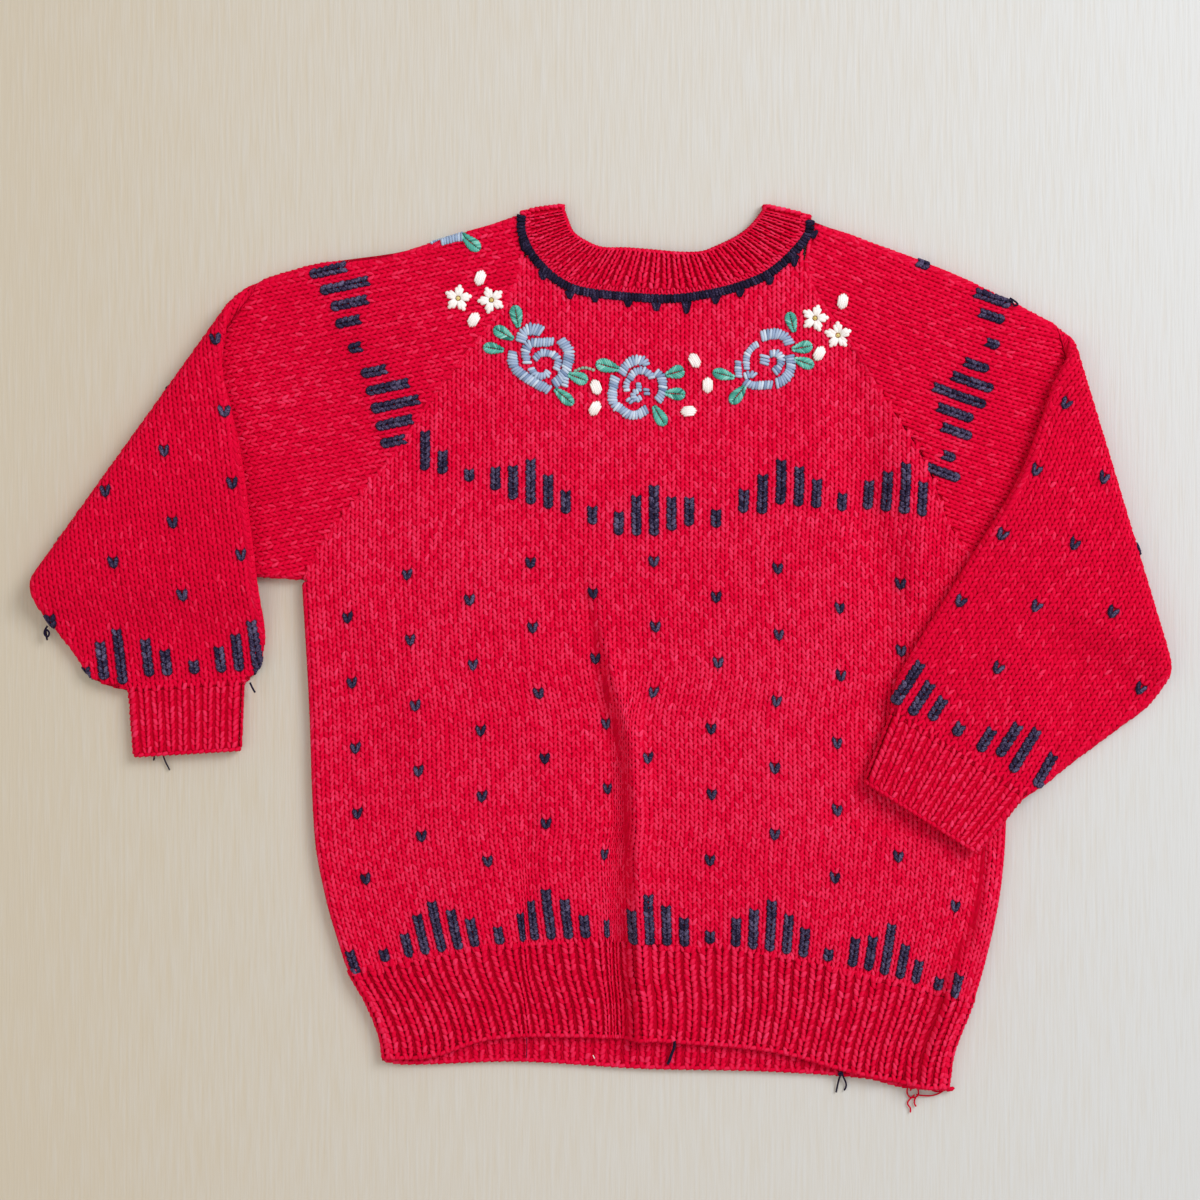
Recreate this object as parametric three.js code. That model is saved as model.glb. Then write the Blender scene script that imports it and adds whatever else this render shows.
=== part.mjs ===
// A child's hand-knitted raglan pullover, laid flat on its back with both sleeves folded over.
// Millimetres. +X to the viewer's right, +Y towards the neck, +Z up from the surface it lies on.
// Every piece is a wall of cloth. The body and the sleeves are flattened tubes: a back layer on the
// surface, a front layer over it, and a half round edge where one turns into the other.
import * as THREE from 'three';

// Cloth
const clothWall = 2.4; // stocking stitch in worsted cotton
const ribWall = 2.8; // one by one rib is a little thicker
const layerAir = 1.8; // air left between the two layers of a flattened tube
const seamGap = 0.3;
const foldRadius = (clothWall + layerAir) / 2; // of the middle of the wall, round an edge
const midHeight = clothWall + layerAir / 2; // of the side seams above the surface

// Body: half outlines at the middle of the side edges, as [height up the body, x]
const leftSide = curve([
  [-207, -108], [-194, -110], [-177, -117], [-163, -125], [-147, -130.5], [-126, -136.5],
  [-96, -142], [-26, -145], [33, -148.5],
]);
const rightSide = curve([
  [-221, 171.5], [-202, 174.5], [-176, 184.5], [-145, 193], [-118, 198], [-84, 200.3], [30, 199.5],
]);
// Seams and edges across the body, as [x, y]
const frontRibSeam = curve([
  [-131, -166], [-110, -161.5], [-85, -154.5], [-54, -150], [2, -148], [51, -151],
  [83, -154], [111, -160], [142, -167.5], [187, -177],
]);
const frontHem = curve([
  [-112, -205], [-91, -204], [-59, -195], [-10, -194], [40, -197], [90, -201.5], [133, -212],
  [175, -220],
]);
const backHem = curve([
  [-112, -206], [-99, -208], [-42, -206.5], [19, -210], [83, -211.5], [133, -215], [152, -219.5],
  [175, -221.3],
]);
const backRibDrop = 7; // the back rib sits this much lower than the front rib
const underarmLeft = [-148.5, 33];
const underarmRight = [199.5, 30];
const raglanLeft = spline([
  [-40, 214], [-40.2, 206], [-39.5, 197], [-42.5, 181.5], [-49.5, 168], [-63, 150.8],
  [-82, 127], [-101.5, 98], [-118.5, 77], [-138, 52], underarmLeft,
]);
const raglanRight = spline([
  [103.5, 212], [103.5, 205], [102.5, 196], [102, 188], [108, 172.5], [124.5, 149.5], [139.5, 123.5],
  [155, 99.5], [164, 82], [175.5, 54], underarmRight,
]);
const neckSeam = spline([
  [-39, 214], [-39, 206], [-35, 196.5], [-29, 189], [-21.5, 182.5], [-12, 178], [4, 175.5],
  [33, 173.7], [55, 176.5], [70, 180.5], [82.5, 186], [93, 194.7], [101.5, 205], [102.3, 212],
]);
const neckSteps = 20;
const neckTipSteps = 2; // steps of the neck seam that border a sleeve, at each end
const raglanStops = [0.04, 0.1, 0.2, 0.32, 0.45, 0.58, 0.71, 0.83, 0.94];
const raglanTipStop = 0.1; // below it the raglan seam borders the body
const underarmEase = 2.2; // the body ends this much below the corner of the underarm

// Folds in the front of the body: [points along it, half width, height]
const bodyFolds = [
  [[[20, 70], [25, -150]], 120, 2.4],
  [[[-70, 40], [-75, -60], [-62, -140]], 42, 2.6],
  [[[95, 60], [105, -40], [95, -140]], 45, 2.6],
  [[[-4, 10], [6, -30], [13, -60], [14, -120], [13, -175]], 5.5, -3.6],
  [[[10, -20], [20, -50], [22.5, -90], [23, -150], [23, -190]], 5, 4.4],
  [[[153, 100], [162, 84], [172, 62]], 6, 3.2],
];
// Left edge of the right sleeve where it lies on the body, as [y, x]
const sleeveShadow = curve([
  [-100, 200], [-88, 126], [-69, 126], [-40, 138], [20, 163], [80, 198], [110, 210],
]);
const foldFade = 26; // length over which a fold dies away past its end
const deepestFold = -1.3; // where the front rests on the back

// Sleeves, laid out straight before they are folded over. Each has its own directions: along, from the
// neck to the cuff, and across, from the top edge to the underarm edge.
const sleeves = {
  left: {
    origin: [-40, 215.5],
    side: -1,
    slope: 15.2,
    armhole: raglanLeft,
    top: curve([[0, 1.2], [48, 3.2], [75, 3.2], [103, -1.6], [133, -1.4], [160, 1], [188, 5.5],
      [212, 2], [236, -1.5], [283, -4.6], [320, -6.5], [334, -4], [341, 0], [346, 5.5]]),
    under: curve([[154, 146.5], [174, 139.5], [230, 122], [285, 108], [302, 102.5], [325, 87.7],
      [338, 79.5], [342, 73], [346, 60.8]]),
    cuff: { from: 346, to: 378, top: [6, 9.2], under: [60.8, 60.2] },
    foldLine: [[-196.5, 156], [-282, 37]],
    rest: (x, y) => smooth((32 - y) / 30),
    billow: [[-98, 150], 34, 2.4],
    overBillow: [[-228, 70], 40, 2.2],
  },
  right: {
    origin: [105, 211.5],
    side: 1,
    slope: 24,
    armhole: raglanRight,
    top: curve([[0, 1.2], [24, -1.1], [75, -3.8], [110, -2.8], [140, -1], [170, 0.5], [190, 5],
      [221, 11.2], [264, 12.2], [320, 12.8], [336, 14], [347, 17], [353, 21]]),
    under: curve([[161, 129], [200, 127], [256, 127], [280, 126], [297, 119.8], [325, 109],
      [344, 101.5], [353, 96]]),
    cuff: { from: 353, to: 388, top: [21, 27.5], under: [96, 91.5] },
    foldLine: [[235.5, 150.5], [280, 3]],
    rest: (x, y) => smooth((x - 204) / 34) * smooth((31 - 0.35 * (x - 200) - y) / 30),
    billow: [[150, 160], 30, 2.2],
    overBillow: [[222, 66], 36, 2.2],
  },
};
const turnHeight = 7.2; // axis of the fold above the surface
const turnRadius = 6.3; // radius that the cloth's length round the fold is worked out from

// Free edge of the neckband's front half, from the left shoulder to the right one
const neckOpening = spline([
  [-18.5, 217.5], [-16.5, 212], [-14, 206.5], [-8.5, 202.5], [0, 199], [12, 198.7], [24, 197.8],
  [38, 196.6], [49, 196.8], [56, 199.2], [67, 204.5], [74, 210], [80, 217.5],
]);

function spline(points) {
  return new THREE.SplineCurve(points.map(([x, y]) => new THREE.Vector2(x, y)));
}

// A smooth line y(x) through a few points
function curve(points) {
  const slopes = points.map((point, i) => {
    const before = points[Math.max(i - 1, 0)];
    const after = points[Math.min(i + 1, points.length - 1)];
    return (after[1] - before[1]) / (after[0] - before[0]);
  });
  return (x) => {
    let i = 0;
    while (i < points.length - 2 && x > points[i + 1][0]) {
      i += 1;
    }
    const [x0, y0] = points[i];
    const [x1, y1] = points[i + 1];
    const span = x1 - x0;
    const t = THREE.MathUtils.clamp((x - x0) / span, 0, 1);
    const a = y0 * (1 + 2 * t) * (1 - t) ** 2 + slopes[i] * span * t * (1 - t) ** 2;
    return a + y1 * t * t * (3 - 2 * t) + slopes[i + 1] * span * t * t * (t - 1);
  };
}

function smooth(t) {
  const s = THREE.MathUtils.clamp(t, 0, 1);
  return s * s * (3 - 2 * s);
}

function mix(a, b, t) {
  return a + (b - a) * t;
}

function steps(from, to, count) {
  return Array.from({ length: count + 1 }, (_, i) => mix(from, to, i / count));
}

// Height that the listed folds give the cloth at x, y
function foldHeight(folds, x, y) {
  let height = 0;
  for (const [path, halfWidth, rise] of folds) {
    let nearest = Infinity;
    for (let i = 0; i + 1 < path.length; i += 1) {
      const [ax, ay] = path[i];
      const [bx, by] = path[i + 1];
      const length = Math.hypot(bx - ax, by - ay);
      const along = ((x - ax) * (bx - ax) + (y - ay) * (by - ay)) / length;
      const beyond = Math.max(-along, along - length, 0);
      const beside = ((x - ax) * (by - ay) - (y - ay) * (bx - ax)) / length;
      nearest = Math.min(nearest, Math.hypot(beyond / foldFade, beside / halfWidth));
    }
    height += rise * Math.exp(-nearest * nearest);
  }
  return height;
}

// Closed solid from a grid of outer points and the matching grid of inner points. A grid row is one
// section; rows that loop join their last point to their first, and a looped grid its last row to its first.
function wallSolid(outer, inner, rowsLoop, gridLoops) {
  const rows = outer.length;
  const columns = outer[0].length;
  const vertices = [...outer.flat(), ...inner.flat()].flat();
  const indices = [];
  const at = (r, c, inside) => (r % rows) * columns + (c % columns) + (inside ? rows * columns : 0);
  const quad = (a, b, c, d) => indices.push(a, b, c, a, c, d);
  const rowSteps = gridLoops ? rows : rows - 1;
  const columnSteps = rowsLoop ? columns : columns - 1;
  for (let r = 0; r < rowSteps; r += 1) {
    for (let c = 0; c < columnSteps; c += 1) {
      quad(at(r, c, false), at(r, c + 1, false), at(r + 1, c + 1, false), at(r + 1, c, false));
      quad(at(r, c, true), at(r + 1, c, true), at(r + 1, c + 1, true), at(r, c + 1, true));
    }
    if (!rowsLoop) {
      quad(at(r, 0, false), at(r + 1, 0, false), at(r + 1, 0, true), at(r, 0, true));
      const last = columns - 1;
      quad(at(r, last, false), at(r, last, true), at(r + 1, last, true), at(r + 1, last, false));
    }
  }
  if (!gridLoops) {
    const end = rows - 1;
    for (let c = 0; c < columnSteps; c += 1) {
      quad(at(0, c, false), at(0, c, true), at(0, c + 1, true), at(0, c + 1, false));
      quad(at(end, c, false), at(end, c + 1, false), at(end, c + 1, true), at(end, c, true));
    }
  }
  const geometry = new THREE.BufferGeometry();
  geometry.setAttribute('position', new THREE.Float32BufferAttribute(vertices, 3));
  geometry.setIndex(indices);
  geometry.computeVertexNormals();
  return geometry;
}

// Columns up a body panel: where each ends at the top, and how far it is round a side edge
const quarterTurn = Math.PI / 2;
const edgeTurns = [0.03, 0.4, 0.72].map((turn) => turn * quarterTurn);
const raglanColumns = (seam, stops) => stops.filter((t) => t >= raglanTipStop)
  .map((t) => ({ top: seam.getPointAt(t).toArray(), turn: quarterTurn, end: 0 }));
const panelColumns = [
  ...edgeTurns.map((turn) => ({ top: underarmLeft, turn, end: -1 })),
  ...raglanColumns(raglanLeft, raglanStops.toReversed()),
  ...steps(0, 1, neckSteps).slice(neckTipSteps, -neckTipSteps)
    .map((t) => ({ top: neckSeam.getPointAt(t).toArray(), turn: quarterTurn, end: 0 })),
  ...raglanColumns(raglanRight, raglanStops),
  ...edgeTurns.toReversed().map((turn) => ({ top: underarmRight, turn, end: 1 })),
];

// A body panel from one line across the body up to another, or up to the neck and armholes where none is
// given. layer is 1 for the front and -1 for the back.
function panel(lowLine, highLine, rows, wall, layer) {
  const radius = foldRadius + (wall - clothWall) / 2;
  const surface = (offset) => rows.map((up) => panelColumns.map(({ top, turn, end }) => {
    const across = (top[0] - underarmLeft[0]) / (underarmRight[0] - underarmLeft[0]);
    const topY = top[1] - (end === 0 ? seamGap : underarmEase);
    const y = mix(lowLine(across), highLine ? highLine(across) : topY, up);
    const reach = radius + offset;
    const inset = foldRadius - reach * Math.cos(turn);
    const x = mix(leftSide(y), rightSide(y), across) - end * inset;
    const rise = reach * Math.sin(turn);
    const fold = Math.max(foldHeight(bodyFolds, x, y), deepestFold);
    const lift = layer > 0 ? fold * Math.sin(turn) * underSleeve(x, y) : 0;
    return [x, y, Math.max(midHeight + layer * rise + lift, 0)];
  }));
  const outer = surface(wall / 2);
  const inner = surface(-wall / 2);
  return layer > 0 ? wallSolid(outer, inner, false, false) : wallSolid(inner, outer, false, false);
}

// The front lies flat where the right sleeve rests on it: 0 under the sleeve, 1 clear of it
function underSleeve(x, y) {
  return smooth((sleeveShadow(y) - x) / 14);
}

const xAt = (y) => (across) => mix(leftSide(y), rightSide(y), across);
const ribX = xAt(-160);
const hemX = xAt(-205);
const frontSeamLine = (across) => frontRibSeam(ribX(across));
const bodyRows = steps(0, 1, 10);
const ribRows = steps(0, 1, 2);

// Point of a sleeve laid out straight, from its own two directions
function sleevePoint(sleeve, along, across) {
  const angle = THREE.MathUtils.degToRad(sleeve.slope);
  const [x, y] = sleeve.origin;
  return [
    x + sleeve.side * (along * Math.cos(angle) - across * Math.sin(angle)),
    y - along * Math.sin(angle) - across * Math.cos(angle),
  ];
}

// Unit direction straight out over the fold
function foldDirection(sleeve) {
  const [[ax, ay], [bx, by]] = sleeve.foldLine;
  const length = Math.hypot(bx - ax, by - ay);
  return [sleeve.side * (ay - by) / length, sleeve.side * (bx - ax) / length];
}

// Distance of a laid out point past the axis that the sleeve is folded round
function pastFold(sleeve, [x, y]) {
  const [nx, ny] = foldDirection(sleeve);
  const [ax, ay] = sleeve.foldLine[0];
  return (x - ax) * nx + (y - ay) * ny + turnHeight;
}

// Folds the laid out sleeve over on itself and lets it down on to what lies under it
function foldOver(sleeve, [x, y], height) {
  const past = pastFold(sleeve, [x, y]);
  if (past <= 0) {
    return [x, y, height];
  }
  const [nx, ny] = foldDirection(sleeve);
  const turn = Math.min(past / turnRadius, Math.PI);
  const beyond = Math.max(past - Math.PI * turnRadius, 0);
  const shift = (turnHeight - height) * Math.sin(turn) - beyond - past;
  const fx = x + nx * shift;
  const fy = y + ny * shift;
  const drop = (turnHeight * 2 - 2 * midHeight) * sleeve.rest(fx, fy) * (turn / Math.PI);
  return [fx, fy, turnHeight - (turnHeight - height) * Math.cos(turn) - drop];
}

// How far along the sleeve a line at this distance past the fold meets one of its edges
function alongAt(sleeve, edge, past) {
  let low = 0;
  let high = 380;
  for (let i = 0; i < 30; i += 1) {
    const middle = (low + high) / 2;
    if (pastFold(sleeve, sleevePoint(sleeve, middle, edge(middle))) < past) {
      low = middle;
    } else {
      high = middle;
    }
  }
  return low;
}

// One section of a flattened sleeve: points round the tube, from the top edge over the front and back
const turnStops = [0.5, 1];
function sleeveRing(sleeve, line, wall, offset) {
  const radius = foldRadius + (wall - clothWall) / 2 + offset;
  const middle = midHeight - (wall - clothWall);
  const ring = [];
  const push = (t, inset, turn, layer) => {
    const [x, y, dx, dy] = line(t);
    const point = [x + dx * inset, y + dy * inset];
    const past = pastFold(sleeve, point);
    const [[bx, by], size, rise] = layer > 0 ? sleeve.billow : sleeve.overBillow;
    const folded = foldOver(sleeve, point, midHeight);
    const near = Math.hypot(folded[0] - bx, folded[1] - by) / size;
    const side = layer > 0 ? smooth(-past / 20) : smooth((past - 20) / 20);
    const lift = rise * Math.exp(-near * near) * side * Math.sin(turn);
    ring.push(foldOver(sleeve, point, middle + layer * (radius * Math.sin(turn) + lift)));
  };
  const edgeInset = (turn) => foldRadius - radius * Math.cos(turn);
  for (const layer of [1, -1]) {
    const turns = [0, ...turnStops].map((stop) => stop * quarterTurn);
    const stops = layer > 0 ? raglanStops : raglanStops.toReversed();
    const [nearT, farT] = layer > 0 ? [0, 1] : [1, 0];
    for (const turn of turns) {
      push(nearT, edgeInset(turn) * (nearT === 0 ? 1 : -1), turn, layer);
    }
    for (const t of stops) {
      push(t, 0, quarterTurn, layer);
    }
    for (const turn of turns.slice(1).toReversed()) {
      push(farT, edgeInset(turn) * (farT === 0 ? 1 : -1), turn, layer);
    }
  }
  return ring;
}

// A straight line across a sleeve between two places along its edges, bent towards the armhole seam by bend
function sleeveLine(sleeve, topAlong, underAlong, bend) {
  const a = sleevePoint(sleeve, topAlong, sleeve.top(topAlong));
  const b = sleevePoint(sleeve, underAlong, sleeve.under(underAlong));
  const length = Math.hypot(b[0] - a[0], b[1] - a[1]);
  const direction = [(b[0] - a[0]) / length, (b[1] - a[1]) / length];
  return (t) => {
    const seamPoint = sleeve.armhole.getPointAt(t);
    const clear = sleeve.side * seamGap;
    return [
      mix(mix(a[0], b[0], t), seamPoint.x + clear, bend),
      mix(mix(a[1], b[1], t), seamPoint.y + seamGap / 2, bend),
      ...direction,
    ];
  };
}

function sleeveSections(sleeve) {
  const { top, under, cuff } = sleeve;
  const across = (past) => [alongAt(sleeve, top, past), alongAt(sleeve, under, past)];
  const turnLength = Math.PI * turnRadius;
  const armholeUnder = alongAtUnderarm(sleeve);
  const [foldTop, foldUnder] = across(-1);
  const [overTop, overUnder] = across(turnLength + 1);
  return [
    ...steps(0, 1, 6).map((t) => [mix(0, foldTop, t), mix(armholeUnder, foldUnder, t), (1 - t) ** 2]),
    ...steps(0, turnLength, 4).map((past) => [...across(past), 0]),
    ...steps(0, 1, 4).map((t) => [
      mix(overTop, cuff.from - 18, t), mix(overUnder, cuff.from - 18, t), 0,
    ]),
    ...[12, 7, 3.5, seamGap].map((short) => [cuff.from - short, cuff.from - short, 0]),
  ].map(([topAlong, underAlong, bend]) => sleeveLine(sleeve, topAlong, underAlong, bend));
}

// Where the underarm lies along the sleeve
function alongAtUnderarm(sleeve) {
  const { x, y } = sleeve.armhole.getPointAt(1);
  const angle = THREE.MathUtils.degToRad(sleeve.slope);
  const [ox, oy] = sleeve.origin;
  return sleeve.side * (x - ox) * Math.cos(angle) + (oy - y) * Math.sin(angle);
}

function cuffSections(sleeve) {
  const { from, to, top, under } = sleeve.cuff;
  return steps(0, 1, 3).map((t) => {
    const along = mix(from, to, t);
    const a = sleevePoint(sleeve, along, mix(top[0], top[1], t));
    const b = sleevePoint(sleeve, along, mix(under[0], under[1], t));
    const length = Math.hypot(b[0] - a[0], b[1] - a[1]);
    return (s) => [
      mix(a[0], b[0], s), mix(a[1], b[1], s), (b[0] - a[0]) / length, (b[1] - a[1]) / length,
    ];
  });
}

function tube(sleeve, sections, wall) {
  const outer = sections.map((line) => sleeveRing(sleeve, line, wall, wall / 2));
  const inner = sections.map((line) => sleeveRing(sleeve, line, wall, -wall / 2));
  return sleeve.side > 0 ? wallSolid(outer, inner, true, false) : wallSolid(inner, outer, true, false);
}

// The neckband goes once round the neck: the front half, over the right shoulder, the back half, and
// over the left shoulder
function neckband() {
  const acrossStopsBand = [0, 0.5, 1];
  const section = (t, offset, lean, layer) => acrossStopsBand.map((stop) => {
    const a = neckOpening.getPointAt(t);
    const b = neckSeam.getPointAt(t);
    const reach = foldRadius + offset;
    const x = mix(a.x, b.x, stop);
    const y = mix(a.y, b.y + seamGap, stop) + reach * Math.cos(lean);
    return [x, y, midHeight + layer * reach * Math.sin(lean)];
  });
  const stations = [
    ...steps(0, 1, neckSteps).map((t) => [t, quarterTurn, 1]),
    [1, quarterTurn / 2, 1],
    [1, 0, 1],
    [1, quarterTurn / 2, -1],
    ...steps(1, 0, neckSteps).map((t) => [t, quarterTurn, -1]),
    [0, quarterTurn / 2, -1],
    [0, 0, 1],
    [0, quarterTurn / 2, 1],
  ];
  const surface = (offset) => stations.map(([t, lean, layer]) => section(t, offset, lean, layer));
  return wallSolid(surface(clothWall / 2), surface(-clothWall / 2), false, true);
}

const redKnit = { color: 0xc5122f, roughness: 0.85, metalness: 0 };
const redRib = { color: 0xb90f2b, roughness: 0.88, metalness: 0 };
const sweater = new THREE.Group();

function add(name, geometry, finish) {
  const mesh = new THREE.Mesh(geometry, new THREE.MeshStandardMaterial(finish));
  mesh.name = name;
  sweater.add(mesh);
}

const above = (line) => (across) => line(across) + seamGap;
const backSeamLine = (across) => frontSeamLine(across) - backRibDrop;
add('front', panel(above(frontSeamLine), null, bodyRows, clothWall, 1), redKnit);
add('back', panel(above(backSeamLine), null, steps(0, 1, 3), clothWall, -1), redKnit);
add('front_hem_rib', panel((s) => frontHem(hemX(s)), frontSeamLine, ribRows, ribWall, 1), redRib);
add('back_hem_rib', panel((s) => backHem(hemX(s)), backSeamLine, ribRows, ribWall, -1), redRib);
for (const [side, sleeve] of Object.entries(sleeves)) {
  add(`${side}_sleeve`, tube(sleeve, sleeveSections(sleeve), clothWall), redKnit);
  add(`${side}_cuff`, tube(sleeve, cuffSections(sleeve), ribWall), redRib);
}
add('neckband', neckband(), redRib);

export default sweater;
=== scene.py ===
import math
from collections import namedtuple

import bpy
import numpy as np
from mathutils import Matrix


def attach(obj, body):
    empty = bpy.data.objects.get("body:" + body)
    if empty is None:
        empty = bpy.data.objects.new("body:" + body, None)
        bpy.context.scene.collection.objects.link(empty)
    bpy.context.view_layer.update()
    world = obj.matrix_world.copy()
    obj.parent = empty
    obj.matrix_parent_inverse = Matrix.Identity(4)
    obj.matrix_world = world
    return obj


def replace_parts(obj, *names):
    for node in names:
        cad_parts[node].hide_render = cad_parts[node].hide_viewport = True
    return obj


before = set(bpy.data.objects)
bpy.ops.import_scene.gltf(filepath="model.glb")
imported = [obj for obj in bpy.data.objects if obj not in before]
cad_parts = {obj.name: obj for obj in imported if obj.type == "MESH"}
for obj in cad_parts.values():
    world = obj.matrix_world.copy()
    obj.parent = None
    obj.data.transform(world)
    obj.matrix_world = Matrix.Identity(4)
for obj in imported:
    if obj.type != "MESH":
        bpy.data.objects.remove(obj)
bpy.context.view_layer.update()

MM = 0.001
rng = np.random.default_rng(11)

# Cloth, as in the part
CLOTH_WALL = 2.4
RIB_WALL = 2.8
LAYER_AIR = 1.8
SEAM_GAP = 0.3
FOLD_RADIUS = (CLOTH_WALL + LAYER_AIR) / 2
MID_HEIGHT = CLOTH_WALL + LAYER_AIR / 2
QUARTER = math.pi / 2
GROUND_FACE = 0.2  # outer face of the ground that the stitches stand on, from the middle of the wall
RIB_GROUND_FACE = GROUND_FACE - 0.3  # sunk further between ribs

# Gauge, counted on the knitting
BODY_WALES = 79
BODY_COURSE = 2.7
BAND_Y = -144.0  # first course of the darned band above the hem, at its highest place
SLEEVE_COURSE = 2.98
HEM_RIBS = 42
BACK_HEM_RIBS = 38


def smooth(t):
    """0 up to t = 0, then a soft rise to 1 at t = 1."""
    s = np.clip(t, 0.0, 1.0)
    return s * s * (3.0 - 2.0 * s)


def mix(a, b, t):
    return a + (b - a) * t


def curve(points):
    """A smooth line y(x) through a few points."""
    xs, ys = np.array(points, float).T
    place = np.arange(len(xs))
    before = np.maximum(place - 1, 0)
    after = np.minimum(place + 1, len(xs) - 1)
    slopes = (ys[after] - ys[before]) / (xs[after] - xs[before])

    def at(x):
        i = np.clip(np.searchsorted(xs, x) - 1, 0, len(xs) - 2)
        span = xs[i + 1] - xs[i]
        t = np.clip((x - xs[i]) / span, 0.0, 1.0)
        start = ys[i] * (1 + 2 * t) * (1 - t) ** 2 + slopes[i] * span * t * (1 - t) ** 2
        return start + ys[i + 1] * t * t * (3 - 2 * t) + slopes[i + 1] * span * t * t * (t - 1)

    return at


LINE_STEPS = 24  # straight steps between two points of a smooth line
LOOK_AHEAD = 0.01  # share of a line's length over which its direction is taken


class Line:
    """A smooth line through a few points, with places on it told by their share of its length."""

    def __init__(self, points):
        p = np.array(points, float)
        p = np.vstack([p[0], p, p[-1]])
        t = np.linspace(0, 1, LINE_STEPS, endpoint=False)[:, None]
        spans = []
        for i in range(len(points) - 1):
            a, b, c, d = p[i : i + 4]
            start = 0.5 * (c - a)
            end = 0.5 * (d - b)
            cubic = (2 * b - 2 * c + start + end) * t**3
            spans.append(cubic + (-3 * b + 3 * c - 2 * start - end) * t**2 + start * t + b)
        self.points = np.vstack([*spans, p[-1:]])
        gone = np.hypot(*np.diff(self.points, axis=0).T)
        self.gone = np.concatenate([[0], np.cumsum(gone)])
        self.length = self.gone[-1]

    def at(self, share):
        place = np.asarray(share) * self.length
        return np.stack([np.interp(place, self.gone, axis) for axis in self.points.T], -1)

    def across(self, share):
        """Unit direction to the left of the line."""
        ahead = self.at(np.clip(np.asarray(share) + LOOK_AHEAD, 0, 1))
        behind = self.at(np.clip(np.asarray(share) - LOOK_AHEAD, 0, 1))
        along = ahead - behind
        along /= np.hypot(along[..., 0], along[..., 1])[..., None]
        return np.stack([-along[..., 1], along[..., 0]], -1)

    def x_at(self, y):
        order = np.argsort(self.points[:, 1])
        return np.interp(y, self.points[order, 1], self.points[order, 0])

    def y_at(self, x):
        order = np.argsort(self.points[:, 0])
        return np.interp(x, self.points[order, 0], self.points[order, 1])


# Outlines, as in the part
left_side = curve([
    (-207, -108), (-194, -110), (-177, -117), (-163, -125), (-147, -130.5), (-126, -136.5),
    (-96, -142), (-26, -145), (33, -148.5),
])
right_side = curve([
    (-221, 171.5), (-202, 174.5), (-176, 184.5), (-145, 193), (-118, 198), (-84, 200.3), (30, 199.5),
])
front_rib_seam = curve([
    (-131, -166), (-110, -161.5), (-85, -154.5), (-54, -150), (2, -148), (51, -151),
    (83, -154), (111, -160), (142, -167.5), (187, -177),
])
front_hem = curve([
    (-112, -205), (-91, -204), (-59, -195), (-10, -194), (40, -197), (90, -201.5), (133, -212),
    (175, -220),
])
back_hem = curve([
    (-112, -206), (-99, -208), (-42, -206.5), (19, -210), (83, -211.5), (133, -215), (152, -219.5),
    (175, -221.3),
])
BACK_RIB_DROP = 7
UNDERARM_LEFT = (-148.5, 33)
UNDERARM_RIGHT = (199.5, 30)
UNDERARM_EASE = 2.2
raglan_left = Line([
    (-40, 214), (-40.2, 206), (-39.5, 197), (-42.5, 181.5), (-49.5, 168), (-63, 150.8),
    (-82, 127), (-101.5, 98), (-118.5, 77), (-138, 52), UNDERARM_LEFT,
])
raglan_right = Line([
    (103.5, 212), (103.5, 205), (102.5, 196), (102, 188), (108, 172.5), (124.5, 149.5),
    (139.5, 123.5), (155, 99.5), (164, 82), (175.5, 54), UNDERARM_RIGHT,
])
neck_seam = Line([
    (-39, 214), (-39, 206), (-35, 196.5), (-29, 189), (-21.5, 182.5), (-12, 178), (4, 175.5),
    (33, 173.7), (55, 176.5), (70, 180.5), (82.5, 186), (93, 194.7), (101.5, 205), (102.3, 212),
])
neck_opening = Line([
    (-18.5, 217.5), (-16.5, 212), (-14, 206.5), (-8.5, 202.5), (0, 199), (12, 198.7), (24, 197.8),
    (38, 196.6), (49, 196.8), (56, 199.2), (67, 204.5), (74, 210), (80, 217.5),
])

# Folds in the front of the body: points along each, half width, height
BODY_FOLDS = [
    ([(20, 70), (25, -150)], 120, 2.4),
    ([(-70, 40), (-75, -60), (-62, -140)], 42, 2.6),
    ([(95, 60), (105, -40), (95, -140)], 45, 2.6),
    ([(-6, 10), (3, -30), (8.5, -60), (10, -120), (9.5, -175)], 5, -4.6),
    ([(-18, 8), (-6, -40), (2, -80)], 11, -1.8),
    ([(7, -20), (15, -50), (17.5, -90), (18.5, -150), (19, -190)], 4.6, 6.4),
    ([(157, 100), (166, 84), (176, 62)], 6, 2.6),
    ([(196, -85), (194.5, -110), (191, -130), (184, -149), (176, -167), (166, -197)], 4.6, 5.8),
    ([(190, -85), (187.5, -108), (184, -130), (175.5, -149), (167.5, -166), (157, -190)], 4.6, -4.5),
    ([(125, 105), (127.5, 82), (134, 56), (143, 30), (143, 2), (131, -28)], 9, -4.2),
    ([(149, 96), (156, 64), (158, 38), (156, 16)], 11, 4.6),
    ([(-37, -95), (-36, -140)], 5, -1.6),
    ([(-120, 20), (-95, -20), (-88, -70)], 14, 1.4),
]
sleeve_shadow = curve([
    (-100, 200), (-88, 126), (-69, 126), (-40, 138), (20, 163), (80, 198), (110, 210),
])
FOLD_FADE = 26  # a fold fades out this far past its ends
DEEPEST_FOLD = -1.3  # where the front meets the back
TURN_HEIGHT = 7.2  # of the axis that a sleeve is folded round
TURN_RADIUS = 6.3


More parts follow.
